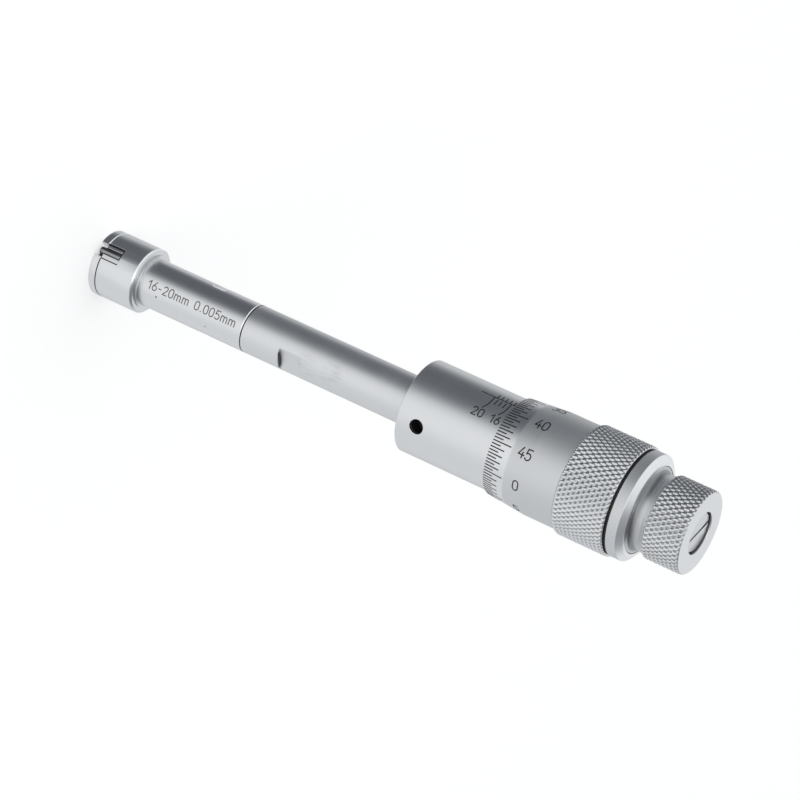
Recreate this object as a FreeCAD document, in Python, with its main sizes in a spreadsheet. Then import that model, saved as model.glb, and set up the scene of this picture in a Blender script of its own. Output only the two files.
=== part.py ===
import FreeCAD, Part

# Inside micrometer with three anvils, for bores of 16 to 20 mm, standing on its measuring head.
#
# Every piece is turned about one line. The pieces are drawn with that line as the X axis, the
# measuring face at x = 0 and the ratchet at the far end, and are then stood up together, so that the
# line is the Z axis, the measuring face is on the table at z = 0 and the scale's base line faces -Y.
# Lengths are millimetres and angles degrees. A roll is an angle about the line, from the scale's base
# line, right-handed about the direction from the head to the ratchet.
#
# A sum such as "head_radius - seam_chamfer" is written with the names of the sizes. The sketches and
# features keep it as an expression, so they follow the sheet.

import os
import re

import Sketcher

SIZES = {
    # measuring head
    "head_radius": 7.5,
    "head_end": 11.75,
    "head_chamfer": 0.4,
    "plate_thickness": 1.9,
    "plate_chamfer": 0.2,
    "plate_skin": 0.6,
    "seam_chamfer": 0.1,
    "recess_room": 1.1,
    "socket_room": 0.4,
    # guide slots and anvils
    "anvil_roll": 34.0,
    "slot_width": 3.9,
    "slot_length": 4.45,
    "key_width": 1.7,
    "key_room": 0.7,
    "key_travel": 3.15,
    "anvil_inner": 1.25,
    "anvil_under": 0.5,
    "foot_length": 1.28,
    "foot_room": 0.33,
    "pin_radius": 0.85,
    "pin_under": 0.06,
    "pin_start": 0.6,
    "notch_width": 3.1,
    "notch_room": 0.14,
    # screws of the front plate
    "plate_screw_radius": 0.9,
    "plate_screw_head": 1.7,
    "plate_screw_rim": 0.2,
    "plate_screw_length": 4.6,
    "plate_screw_slot": 0.4,
    # expanding cone, its stem, bush, spring and cap
    "nose_overlap": 1.55,
    "nose_radius": 0.5,
    "cone_slope": 0.5,
    "cone_land": 3.6,
    "stem_radius": 1.75,
    "bush_room": 1.55,
    "bush_length": 2.5,
    "cap_room": 0.78,
    "cap_length": 2.6,
    "cap_floor": 1.0,
    "coil_room": 1.0,
    "spring_wire": 0.6,
    "spring_turns": 6,
    # front barrel
    "barrel_radius": 5.5,
    "barrel_wall": 1.57,
    "front_barrel_length": 27.75,
    "spigot_step": 0.65,
    "collar_height": 0.7,
    "collar_length": 0.5,
    "joint_chamfer": 0.12,
    "joint_step": 0.9,
    "joint_overlap": 5.1,
    "front_flat_depth": 0.27,
    "front_flat_back": 12.3,
    "front_flat_length": 3.4,
    "front_flat_roll": 332.0,
    # main barrel, push rod, its guides and the ball
    "main_barrel_length": 56.5,
    "main_flat_depth": 1.0,
    "main_flat_step": 10.0,
    "main_flat_length": 5.6,
    "main_flat_roll": 100.0,
    "rod_radius": 1.9,
    "rod_back": 5.0,
    "guide_wall": 0.65,
    "guide_length": 4.0,
    "guide_step": 6.5,
    "guide_back": 17.0,
    "ball_under": 0.5,
    "seat_under": 0.1,
    "seat_depth": 0.75,
    # scale sleeve with its spanner hole, inner body and adjusting nut
    "sleeve_radius": 10.4,
    "sleeve_wall": 1.0,
    "sleeve_overlap": 13.4,
    "sleeve_length": 35.4,
    "sleeve_lip": 0.6,
    "sleeve_chamfer": 0.2,
    "hole_step": 4.95,
    "hole_radius": 1.62,
    "hole_roll": 75.6,
    "hole_depth": 3.8,
    "nut_length": 8.5,
    "adjusting_under": 0.25,
    "adjusting_wall": 2.1,
    "adjusting_room": 1.0,
    "adjusting_length": 4.5,
    "spanner_slot": 2.0,
    # spindle
    "tip_under": 0.2,
    "tip_length": 5.8,
    "thread_step": 0.6,
    "taper_step": 0.9,
    "taper_drop": 0.7,
    "taper_lead": 0.6,
    "taper_short": 0.2,
    "stud_step": 0.6,
    "stud_past": 1.4,
    "tap_wall": 1.2,
    "tap_depth": 6.0,
    # thimble
    "thimble_overlap": 13.08,
    "thimble_gap": 0.25,
    "edge_wall": 0.23,
    "thimble_wall": 1.03,
    "bevel_length": 9.08,
    "knurl_length": 12.1,
    "knurl_height": 0.69,
    "knurl_ramp": 0.5,
    "knurl_chamfer": 0.35,
    "travel_room": 6.6,
    "hub_step": 1.0,
    "hub_wall": 3.4,
    "web_length": 6.4,
    "rear_recess": 3.1,
    "thimble_nut_wall": 2.8,
    "thimble_nut_length": 2.2,
    # ring and cap behind the thimble
    "ring_under": 0.57,
    "ring_length": 0.7,
    "cap_over": 0.05,
    "cap_thread_step": 0.45,
    "cap_thread_room": 0.6,
    "cap_band": 2.3,
    "cap_bevel": 1.1,
    "cap_bevel_depth": 1.4,
    "cap_face": 0.7,
    "cap_mouth_depth": 2.0,
    "cap_ledge": 1.45,
    # ratchet
    "teeth": 12,
    "tooth_height": 0.4,
    "tooth_width": 1.6,
    "teeth_gap": 0.1,
    "drive_under": 0.3,
    "drive_length": 2.48,
    "slip_length": 2.0,
    "slip_key": 1.6,
    "slip_key_height": 0.5,
    "spring_room": 3.5,
    "spring_inset": 2.4,
    "ratchet_spring_wire": 0.5,
    "ratchet_spring_turns": 3,
    "cavity_inset": 2.75,
    "neck_room": 0.2,
    "neck_sunk": 0.1,
    "neck_groove": 0.2,
    "neck_wall": 1.4,
    "neck_flare": 0.5,
    "neck_length": 3.3,
    "knob_step": 0.42,
    "knob_web": 2.7,
    "knob_chamfer": 0.35,
    "counterbore_depth": 3.8,
    "counterbore_radius": 4.75,
    "screw_head_room": 0.25,
    "screw_recess": 0.5,
    "screw_chamfer": 0.2,
    "screw_shoulder": 0.4,
    "screw_slot": 0.7,
    "screw_slot_depth": 0.8,
    "screw_slot_roll": 93.0,
    # clearances: of joined threads and seats, of sliding guides, of turning fits
    "seat_clearance": 0.02,
    "slide_clearance": 0.03,
    "running_clearance": 0.05,
}

# What the sizes give together: places along the axis, which end on _start, _end and the like, and radii.
# Each piece is placed from its neighbour, so a longer or thicker piece moves the rest along.
RESULTS = {
    "barrel_bore": "rod_radius + slide_clearance + guide_wall + seat_clearance",
    "head_bore": "barrel_radius - barrel_wall",
    "cone_radius": "head_bore - slide_clearance",
    # head and anvils
    "slot_end": "plate_thickness + slot_length",
    "foot_start": "slot_end - slide_clearance",
    "foot_end": "foot_start + foot_length",
    "foot_outer": "head_bore - foot_room",
    "foot_low": "nose_radius + slide_clearance",
    "key_end": "foot_end + key_room",
    "key_radius": "foot_outer + key_travel",
    "anvil_start": "plate_thickness + slide_clearance",
    "anvil_outer": "head_radius - anvil_under",
    "pin_centre": "head_radius - pin_under - pin_radius",
    "notch_floor": "pin_centre - pin_radius - notch_room",
    "recess_radius": "nose_radius + recess_room",
    "socket_start": "key_end + socket_room",
    "plate_screw_circle": "head_radius - plate_screw_rim - plate_screw_head",
    "plate_screw_sink": "plate_thickness / 2",
    "plate_screw_end": "plate_thickness + plate_screw_length",
    # front barrel, cone and what is on its stem
    "joint": "head_end + front_barrel_length",
    "joint_spigot": "barrel_radius - joint_step",
    "joint_spigot_start": "joint - joint_overlap",
    "spigot_radius": "barrel_radius - spigot_step",
    "collar_radius": "barrel_radius + collar_height",
    "collar_end": "head_end + collar_length",
    "front_flat": "barrel_radius - front_flat_depth",
    "front_flat_start": "joint - front_flat_back",
    "cone_nose": "foot_end - nose_overlap",
    "cone_base": "cone_nose + (cone_radius - nose_radius) / cone_slope",
    "cone_land_end": "cone_base + cone_land",
    "bush_start": "cone_land_end + bush_room",
    "bush_end": "bush_start + bush_length",
    "stem_cap_end": "joint_spigot_start - cap_room",
    "stem_cap_start": "stem_cap_end - cap_length",
    "stem_cap_floor": "stem_cap_end - cap_floor",
    "stem_end": "stem_cap_floor - seat_clearance",
    "spring_radius": "stem_radius + coil_room",
    # main barrel and push rod
    "barrel_end": "joint + main_barrel_length",
    "main_flat": "barrel_radius - main_flat_depth",
    "main_flat_start": "joint + main_flat_step",
    "rod_end": "barrel_end - rod_back",
    "guide_first": "joint + guide_step",
    "guide_spacing": "barrel_end - guide_back - guide_first",
    "ball_radius": "rod_radius - ball_under",
    "seat_radius": "ball_radius - seat_under",
    "ball_stand": "ball_radius / sin(atan(seat_radius / seat_depth))",
    "ball_place": "rod_end - seat_depth + ball_stand + seat_clearance",
    # sleeve and inner body
    "sleeve_bore": "sleeve_radius - sleeve_wall",
    "sleeve_start": "barrel_end - sleeve_overlap",
    "sleeve_end": "sleeve_start + sleeve_length",
    "hole_place": "sleeve_start + hole_step",
    "inner_radius": "sleeve_bore - running_clearance",
    "inner_start": "sleeve_start + sleeve_lip",
    "inner_shoulder": "sleeve_end - nut_length",
    "nut_bore": "thread_radius + running_clearance",
    "adjusting_start": "inner_shoulder + adjusting_room",
    "adjusting_end": "adjusting_start + adjusting_length",
    "adjusting_radius": "inner_radius - adjusting_under",
    "nut_seat": "adjusting_radius - adjusting_wall",
    "hole_floor": "sleeve_radius - hole_depth",
    # spindle
    "tip_start": "ball_place + ball_radius + seat_clearance",
    "tip_radius": "barrel_bore - tip_under",
    "thread_start": "barrel_end + tip_length",
    "thread_radius": "barrel_bore + thread_step",
    "taper_start": "hub_start - taper_lead",
    "taper_end": "web_rear - taper_short",
    "taper_front": "thread_radius + taper_step",
    "taper_rear": "taper_front - taper_drop",
    "taper_fall": "taper_drop / (taper_end - taper_start)",
    "stud_radius": "taper_rear - stud_step",
    "spindle_end": "thimble_end + stud_past",
    "tap_radius": "stud_radius - tap_wall",
    "tap_floor": "spindle_end - tap_depth",
    # thimble
    "thimble_start": "sleeve_end - thimble_overlap",
    "thimble_bore": "sleeve_radius + thimble_gap",
    "thimble_edge": "thimble_bore + edge_wall",
    "thimble_radius": "thimble_bore + thimble_wall",
    "bevel_end": "thimble_start + bevel_length",
    "web_front": "sleeve_end + travel_room",
    "web_rear": "web_front + web_length",
    "hub_start": "web_front + hub_step",
    "hub_radius": "taper_front + hub_wall",
    "hub_front_bore": "taper_front - (hub_start - taper_start) * taper_fall + seat_clearance",
    "hub_rear_bore": "taper_front - (web_rear - taper_start) * taper_fall + seat_clearance",
    "thimble_end": "web_rear + rear_recess",
    "knurl_start": "thimble_end - knurl_length",
    "knurl_radius": "thimble_radius + knurl_height",
    "thimble_nut_radius": "stud_radius + thimble_nut_wall",
    "thimble_nut_end": "web_rear + thimble_nut_length",
    # ring and cap
    "ring_radius": "knurl_radius - ring_under",
    "cap_thread": "thimble_bore - cap_thread_step",
    "cap_thread_start": "web_rear + cap_thread_room",
    "cap_start": "thimble_end + ring_length",
    "cap_radius": "ring_radius + cap_over",
    "cap_edge": "cap_start + cap_band",
    "cap_end": "cap_edge + cap_bevel",
    "cap_rim": "cap_radius - cap_bevel_depth",
    "cap_mouth": "cap_rim - cap_face",
    "cap_step": "cap_end - cap_mouth_depth",
    "cap_bore": "cap_mouth - cap_ledge",
    # ratchet
    "cavity_radius": "cap_mouth - cavity_inset",
    "drive_radius": "cavity_radius - drive_under",
    "drive_start": "spindle_end + seat_clearance",
    "drive_face": "drive_start + drive_length",
    "slip_face": "drive_face + teeth_gap",
    "slip_end": "slip_face + slip_length",
    "slip_bore": "screw_radius + 4 * running_clearance",
    "slip_key_top": "cavity_radius + slip_key_height",
    "cavity_end": "slip_end + spring_room",
    "ratchet_spring_radius": "cavity_radius - spring_inset",
    "neck_front": "cap_step + neck_room",
    "neck_front_radius": "cap_mouth - 2 * running_clearance",
    "neck_lip": "cap_end - neck_sunk",
    "neck_low": "cap_end + neck_groove",
    "neck_radius": "cavity_radius + neck_wall",
    "neck_rear": "neck_radius + neck_flare",
    "knob_start": "cap_end + neck_length",
    "knob_radius": "neck_rear + knob_step",
    "counterbore_floor": "cavity_end + knob_web",
    "knob_end": "counterbore_floor + counterbore_depth",
    "screw_head": "counterbore_radius - screw_head_room",
    "screw_underside": "counterbore_floor + running_clearance",
    "screw_top": "knob_end - screw_recess",
    "screw_radius": "tap_radius + screw_shoulder",
    "screw_thread": "tap_radius - running_clearance",
    "screw_tip": "tap_floor + tap_radius",
}

ANVILS = 3
FULL_TURN = 360
# half a turn about the line between X and Z takes X to Z and Y to -Y
UPRIGHT = FreeCAD.Rotation(FreeCAD.Vector(1, 0, 1), FULL_TURN / 2)

document = FreeCAD.newDocument("inside_micrometer")
sheet = document.addObject("Spreadsheet::Sheet", "Sizes")
for row, (size_name, size_value) in enumerate(SIZES.items(), start=1):
    sheet.set(f"A{row}", size_name)
    sheet.set(f"B{row}", str(size_value))
    sheet.setAlias(f"B{row}", size_name)
document.recompute()

pieces = []


def formula(text):
    """The sum in terms of the sheet's cells, with each result written out."""
    def meaning(word):
        name = word[0]
        if name in RESULTS:
            return f"({formula(RESULTS[name])})"
        return f"Sizes.{name}" if name in SIZES else name

    return re.sub(r"[a-z_]+", meaning, text)


def amount(text):
    """What a sum of sizes comes to."""
    return float(sheet.evalExpression(formula(text)))


def bind(thing, prop, text):
    """Tie a property of a feature to a sum of sizes."""
    thing.setExpression(prop, formula(text))


def new_piece(name):
    """A body that stands for one separate piece of the instrument."""
    body = document.addObject("PartDesign::Body", name)
    body.Label = name
    pieces.append(body)
    return body


def new_sketch(body, name, plane):
    """A sketch on one of the body's own planes: XY_Plane holds the axis, YZ_Plane crosses it."""
    sketch = body.newObject("Sketcher::SketchObject", name)
    support = next(part for part in body.Origin.OriginFeatures if part.Role == plane)
    sketch.AttachmentSupport = (support, [""])
    sketch.MapMode = "FlatFace"
    return sketch


def cross_sketch(body, name, place, roll):
    """A sketch square to the axis at x = place, its own x axis pointing outwards at the roll."""
    sketch = new_sketch(body, name, "YZ_Plane")
    sketch.AttachmentOffset = FreeCAD.Placement(
        FreeCAD.Vector(0, 0, amount(place)), FreeCAD.Rotation(FreeCAD.Vector(0, 0, 1), amount(roll))
    )
    bind(sketch, "AttachmentOffset.Base.z", place)
    bind(sketch, "AttachmentOffset.Rotation.Angle", roll)
    return sketch


def facing_sketch(body, name, roll, height="0"):
    """A sketch that faces outwards at the roll, at a height above the axis its x runs along."""
    sketch = new_sketch(body, name, "XY_Plane")
    tipped = f"({roll}) - 90"
    sketch.AttachmentOffset = FreeCAD.Placement(
        FreeCAD.Vector(0, 0, 0), FreeCAD.Rotation(FreeCAD.Vector(1, 0, 0), amount(tipped))
    )
    bind(sketch, "AttachmentOffset.Rotation.Angle", tipped)
    bind(sketch, "AttachmentOffset.Base.y", f"({height}) * cos({roll})")
    bind(sketch, "AttachmentOffset.Base.z", f"({height}) * sin({roll})")
    return sketch


def hold(sketch, kind, index, text):
    """Hold the start of a line at a distance from the sketch's axes, along x or along y."""
    if text == "0":
        axis = -2 if kind == "DistanceX" else -1
        sketch.addConstraint(Sketcher.Constraint("PointOnObject", index, 1, axis))
        return
    number = sketch.addConstraint(Sketcher.Constraint(kind, -1, 1, index, 1, amount(text)))
    bind(sketch, f"Constraints[{number}]", text)


def draw_outline(sketch, points):
    """A closed outline of straight lines whose corners are pairs of sums."""
    corners = [FreeCAD.Vector(amount(along), amount(out), 0) for along, out in points]
    for start, end in zip(corners, corners[1:] + corners[:1]):
        sketch.addGeometry(Part.LineSegment(start, end), False)
    for index in range(len(corners)):
        following = (index + 1) % len(corners)
        sketch.addConstraint(Sketcher.Constraint("Coincident", index, 2, following, 1))
    for index, (along, out) in enumerate(points):
        hold(sketch, "DistanceX", index, along)
        hold(sketch, "DistanceY", index, out)


def draw_strip(sketch, inner, outer, width):
    """A rectangle that lies along the sketch's x axis from inner to outer, half to each side."""
    near, far, half = amount(inner), amount(outer), amount(width) / 2
    corners = [
        FreeCAD.Vector(near, -half, 0),
        FreeCAD.Vector(far, -half, 0),
        FreeCAD.Vector(far, half, 0),
        FreeCAD.Vector(near, half, 0),
    ]
    for start, end in zip(corners, corners[1:] + corners[:1]):
        sketch.addGeometry(Part.LineSegment(start, end), False)
    for index in range(4):
        sketch.addConstraint(Sketcher.Constraint("Coincident", index, 2, (index + 1) % 4, 1))
    sketch.addConstraint(Sketcher.Constraint("Horizontal", 0))
    sketch.addConstraint(Sketcher.Constraint("Vertical", 1))
    sketch.addConstraint(Sketcher.Constraint("Horizontal", 2))
    sketch.addConstraint(Sketcher.Constraint("Symmetric", 0, 1, 3, 1, -1))
    number = sketch.addConstraint(Sketcher.Constraint("DistanceY", 1, 1, 1, 2, 2 * half))
    bind(sketch, f"Constraints[{number}]", width)
    hold(sketch, "DistanceX", 0, inner)
    hold(sketch, "DistanceX", 1, outer)


def draw_circle(sketch, along, out, radius):
    """A circle with its centre at two sums of sizes."""
    centre = FreeCAD.Vector(amount(along), amount(out), 0)
    sketch.addGeometry(Part.Circle(centre, FreeCAD.Vector(0, 0, 1), amount(radius)), False)
    number = sketch.addConstraint(Sketcher.Constraint("Radius", 0, amount(radius)))
    bind(sketch, f"Constraints[{number}]", radius)
    for kind, text, axis in (("DistanceX", along, -2), ("DistanceY", out, -1)):
        if text == "0":
            sketch.addConstraint(Sketcher.Constraint("PointOnObject", 0, 3, axis))
        else:
            number = sketch.addConstraint(Sketcher.Constraint(kind, -1, 1, 0, 3, amount(text)))
            bind(sketch, f"Constraints[{number}]", text)


def turned(name, points):
    """A piece turned about the axis. The points of its half section are (x, radius)."""
    body = new_piece(name)
    sketch = new_sketch(body, name + "_section", "XY_Plane")
    draw_outline(sketch, points)
    turning = body.newObject("PartDesign::Revolution", name + "_turned")
    turning.Profile = sketch
    turning.ReferenceAxis = (sketch, ["H_Axis"])
    turning.Angle = FULL_TURN
    document.recompute()
    return body


def ring_piece(name, start, end, inner, outer):
    """A plain turned ring."""
    return turned(name, [(start, inner), (start, outer), (end, outer), (end, inner)])


def cut(body, sketch, length, towards_normal=True):
    """Cut the sketch out of the body, along the sketch's normal or against it."""
    before = body.Shape.Volume
    pocket = body.newObject("PartDesign::Pocket", sketch.Name + "_cut")
    pocket.Profile = sketch
    pocket.Length = amount(length)
    bind(pocket, "Length", length)
    pocket.Reversed = towards_normal
    document.recompute()
    if body.Shape.Volume >= before:
        raise RuntimeError(f"{pocket.Name} cuts nothing")
    return pocket


def add(body, sketch, length):
    """Raise the sketch from the body along the sketch's normal."""
    pad = body.newObject("PartDesign::Pad", sketch.Name + "_pad")
    pad.Profile = sketch
    pad.Length = amount(length)
    bind(pad, "Length", length)
    document.recompute()
    return pad


def repeat(body, feature, axis, count, several=False):
    """Repeat a feature evenly around an axis of a sketch."""
    pattern = body.newObject("PartDesign::PolarPattern", feature.Name + "_around")
    pattern.Originals = [feature]
    pattern.Axis = axis
    pattern.Angle = FULL_TURN
    pattern.Occurrences = count
    body.AllowCompound = several
    body.Tip = pattern
    document.recompute()


def cut_strip(body, name, start, length, roll, inner, outer, width, count=1):
    """Mill a straight slot along the axis, from the axis outwards at the roll."""
    sketch = cross_sketch(body, name, start, roll)
    draw_strip(sketch, inner, outer, width)
    pocket = cut(body, sketch, length)
    if count > 1:
        repeat(body, pocket, (sketch, ["N_Axis"]), count)


def cut_across(body, name, top, depth, roll, reach, width):
    """Cut a screwdriver slot right across an end face, down from x = top."""
    sketch = cross_sketch(body, name, f"{top} - ({depth})", roll)
    draw_strip(sketch, f"0 - ({reach})", reach, width)
    cut(body, sketch, depth)


def coil(name, start, length, radius, wire, turns):
    """A coil spring with its wire's middle on the stated radius."""
    body = new_piece(name)
    sketch = new_sketch(body, name + "_wire", "XY_Plane")
    draw_circle(sketch, f"{start} + {wire} / 2", radius, f"{wire} / 2")
    winding = body.newObject("PartDesign::AdditiveHelix", name + "_wound")
    winding.Profile = sketch
    winding.ReferenceAxis = (sketch, ["H_Axis"])
    winding.Mode = "height-turns-angle"
    winding.Height = amount(f"{length} - {wire}")
    winding.Turns = amount(turns)
    bind(winding, "Height", f"{length} - {wire}")
    bind(winding, "Turns", turns)
    document.recompute()
    return body


def front_plate():
    """The plate over the guide slots, with a notch for each contact pin and a hollow for the cone."""
    body = turned(
        "front_plate",
        [
            ("0", "0"),
            ("0", "head_radius - plate_chamfer"),
            ("plate_chamfer", "head_radius"),
            ("plate_thickness - seam_chamfer", "head_radius"),
            ("plate_thickness", "head_radius - seam_chamfer"),
            ("plate_thickness", "recess_radius"),
            ("plate_skin", "recess_radius"),
            ("plate_skin", "0"),
        ],
    )
    cut_strip(
        body, "pin_notch", "0", "plate_thickness", "anvil_roll", "notch_floor", "2 * head_radius",
        "notch_width", ANVILS,
    )
    shaft_hole = cross_sketch(body, "plate_screw_hole", "0", "anvil_roll + 60")
    draw_circle(shaft_hole, "plate_screw_circle", "0", "plate_screw_radius + running_clearance")
    repeat(body, cut(body, shaft_hole, "plate_thickness"), (shaft_hole, ["N_Axis"]), ANVILS)
    head_hole = cross_sketch(body, "plate_screw_sink", "0", "anvil_roll + 60")
    draw_circle(head_hole, "plate_screw_circle", "0", "plate_screw_head + running_clearance")
    repeat(body, cut(body, head_hole, "plate_screw_sink"), (head_hole, ["N_Axis"]), ANVILS)


def plate_screws():
    """Three screws alike that hold the front plate."""
    body = new_piece("plate_screws")
    body.AllowCompound = True
    head = cross_sketch(body, "plate_screw_heads", "running_clearance", "anvil_roll + 60")
    draw_circle(head, "plate_screw_circle", "0", "plate_screw_head")
    add(body, head, "plate_screw_sink - running_clearance")
    shank = cross_sketch(body, "plate_screw_shanks", "plate_screw_sink", "anvil_roll + 60")
    draw_circle(shank, "plate_screw_circle", "0", "plate_screw_radius")
    add(body, shank, "plate_screw_end - plate_screw_sink")
    slot = cross_sketch(body, "plate_screw_slots", "running_clearance", "anvil_roll + 60")
    draw_strip(slot, "plate_screw_circle / 2", "2 * plate_screw_circle", "plate_screw_slot")
    cut(body, slot, "plate_screw_slot")
    whole = body.newObject("PartDesign::PolarPattern", "plate_screws_around")
    whole.TransformMode = "Whole shape"
    whole.Axis = (head, ["N_Axis"])
    whole.Angle = FULL_TURN
    whole.Occurrences = ANVILS
    body.Tip = whole
    document.recompute()


def head_body():
    """The head: bored for the cone, slotted for the anvils, with a socket for the front barrel."""
    body = turned(
        "head_body",
        [
            ("plate_thickness", "head_bore"),
            ("plate_thickness", "head_radius - seam_chamfer"),
            ("plate_thickness + seam_chamfer", "head_radius"),
            ("head_end - head_chamfer", "head_radius"),
            ("head_end", "head_radius - head_chamfer"),
            ("head_end", "spigot_radius + seat_clearance"),
            ("socket_start", "spigot_radius + seat_clearance"),
            ("socket_start", "head_bore"),
        ],
    )
    cut_strip(
        body, "guide_slot", "plate_thickness", "slot_end - plate_thickness", "anvil_roll", "anvil_inner",
        "2 * head_radius", "slot_width", ANVILS,
    )
    cut_strip(
        body, "key_slot", "plate_thickness", "key_end - plate_thickness", "anvil_roll", "anvil_inner",
        "key_radius", "key_width", ANVILS,
    )
    hole = cross_sketch(body, "plate_screw_thread", "plate_thickness", "anvil_roll + 60")
    draw_circle(hole, "plate_screw_circle", "0", "plate_screw_radius + seat_clearance")
    pocket = cut(body, hole, "plate_screw_end + plate_screw_radius - plate_thickness")
    repeat(body, pocket, (hole, ["N_Axis"]), ANVILS)


def anvil(index):
    """A block that slides in its slot, with a foot whose slope rests on the cone."""
    roll = f"anvil_roll + {index * FULL_TURN // ANVILS}"
    body = new_piece(f"anvil_{index + 1}")
    block = cross_sketch(body, f"anvil_block_{index + 1}", "anvil_start", roll)
    draw_strip(block, "anvil_inner", "anvil_outer", "slot_width - 2 * slide_clearance")
    add(body, block, "foot_start - anvil_start")
    foot = cross_sketch(body, f"anvil_foot_{index + 1}", "foot_start", roll)
    draw_strip(foot, "nose_radius", "foot_outer", "key_width - 2 * slide_clearance")
    add(body, foot, "foot_length")
    slope = facing_sketch(body, f"anvil_slope_{index + 1}", f"{roll} + 90")
    past_foot = "foot_end + foot_length"
    below_slope = [
        ("foot_start", "0"),
        ("foot_start", "foot_low + (foot_start - cone_nose) * cone_slope"),
        (past_foot, f"foot_low + ({past_foot} - cone_nose) * cone_slope"),
        (past_foot, "0"),
    ]
    draw_outline(slope, below_slope)
    before = body.Shape.Volume
    pocket = body.newObject("PartDesign::Pocket", slope.Name + "_cut")
    pocket.Profile = slope
    pocket.Length = amount("slot_width")
    bind(pocket, "Length", "slot_width")
    pocket.Midplane = True
    document.recompute()
    if body.Shape.Volume >= before:
        raise RuntimeError(f"{pocket.Name} cuts nothing")
    seat = cross_sketch(body, f"pin_seat_{index + 1}", "anvil_start", roll)
    draw_circle(seat, "pin_centre", "0", "pin_radius + seat_clearance")
    cut(body, seat, "slot_length")


def contact_pin(index):
    """The carbide pin along the outer face of an anvil, reaching forward through the plate's notch."""
    roll = f"anvil_roll + {index * FULL_TURN // ANVILS}"
    body = new_piece(f"contact_pin_{index + 1}")
    sketch = cross_sketch(body, f"pin_round_{index + 1}", "pin_start", roll)
    draw_circle(sketch, "pin_centre", "0", "pin_radius")
    add(body, sketch, "foot_start - pin_start")


def cone():
    """The cone that spreads the anvils, on a long stem."""
    turned(
        "cone",
        [
            ("cone_nose", "0"),
            ("cone_nose", "nose_radius"),
            ("cone_base", "cone_radius"),
            ("cone_land_end", "cone_radius"),
            ("cone_land_end", "stem_radius"),
            ("stem_end", "stem_radius"),
            ("stem_end", "0"),
        ],
    )


def stem_cap():
    """The cup on the end of the stem that the return spring presses against."""
    turned(
        "stem_cap",
        [
            ("stem_cap_start", "stem_radius + seat_clearance"),
            ("stem_cap_start", "cone_radius"),
            ("stem_cap_end", "cone_radius"),
            ("stem_cap_end", "0"),
            ("stem_cap_floor", "0"),
            ("stem_cap_floor", "stem_radius + seat_clearance"),
        ],
    )


def front_barrel():
    """The barrel between the head and the joint, with a small collar against the head."""
    body = turned(
        "front_barrel",
        [
            ("socket_start", "head_bore"),
            ("socket_start", "spigot_radius"),
            ("head_end", "spigot_radius"),
            ("head_end", "collar_radius"),
            ("collar_end - joint_chamfer", "collar_radius"),
            ("collar_end", "collar_radius - joint_chamfer"),
            ("collar_end", "barrel_radius"),
            ("joint - joint_chamfer", "barrel_radius"),
            ("joint", "barrel_radius - joint_chamfer"),
            ("joint", "joint_spigot + seat_clearance"),
            ("joint_spigot_start", "joint_spigot + seat_clearance"),
            ("joint_spigot_start", "head_bore"),
        ],
    )
    cut_strip(
        body, "front_flats", "front_flat_start", "front_flat_length", "front_flat_roll", "front_flat",
        "2 * barrel_radius", "2 * barrel_radius", 2,
    )


def main_barrel():
    """The long barrel, with spanner flats, screwed into the front barrel."""
    body = turned(
        "main_barrel",
        [
            ("joint_spigot_start", "barrel_bore"),
            ("joint_spigot_start", "joint_spigot"),
            ("joint", "joint_spigot"),
            ("joint", "barrel_radius - joint_chamfer"),
            ("joint + joint_chamfer", "barrel_radius"),
            ("barrel_end", "barrel_radius"),
            ("barrel_end", "barrel_bore"),
        ],
    )
    cut_strip(
        body, "spanner_flats", "main_flat_start", "main_flat_length", "main_flat_roll", "main_flat",
        "2 * barrel_radius", "2 * barrel_radius", 2,
    )


def push_rod():
    """The rod between the stem's cap and the ball, with a drilled seat for the ball."""
    turned(
        "push_rod",
        [
            ("stem_cap_end", "0"),
            ("stem_cap_end", "rod_radius"),
            ("rod_end", "rod_radius"),
            ("rod_end", "seat_radius"),
            ("rod_end - seat_depth", "0"),
        ],
    )


def push_rod_guides():
    """Two bushes alike in the main barrel that keep the push rod in line."""
    body = new_piece("push_rod_guides")
    body.AllowCompound = True
    sketch = new_sketch(body, "guide_section", "XY_Plane")
    draw_outline(
        sketch,
        [
            ("guide_first", "rod_radius + slide_clearance"),
            ("guide_first", "barrel_bore - seat_clearance"),
            ("guide_first + guide_length", "barrel_bore - seat_clearance"),
            ("guide_first + guide_length", "rod_radius + slide_clearance"),
        ],
    )
    turning = body.newObject("PartDesign::Revolution", "guide_turned")
    turning.Profile = sketch
    turning.ReferenceAxis = (sketch, ["H_Axis"])
    turning.Angle = FULL_TURN
    second = body.newObject("PartDesign::LinearPattern", "guide_second")
    second.Originals = [turning]
    second.Direction = (sketch, ["H_Axis"])
    second.Length = amount("guide_spacing")
    bind(second, "Length", "guide_spacing")
    second.Occurrences = 2
    body.Tip = second
    document.recompute()


def bearing_ball():
    """The ball that lets the spindle turn against the push rod."""
    body = new_piece("bearing_ball")
    ball = body.newObject("PartDesign::AdditiveSphere", "ball_round")
    ball.Radius = amount("ball_radius")
    bind(ball, "Radius", "ball_radius")
    ball.AttachmentOffset.Base.x = amount("ball_place")
    bind(ball, "AttachmentOffset.Base.x", "ball_place")
    support = next(part for part in body.Origin.OriginFeatures if part.Role == "XY_Plane")
    ball.AttachmentSupport = (support, [""])
    ball.MapMode = "FlatFace"
    document.recompute()


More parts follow.
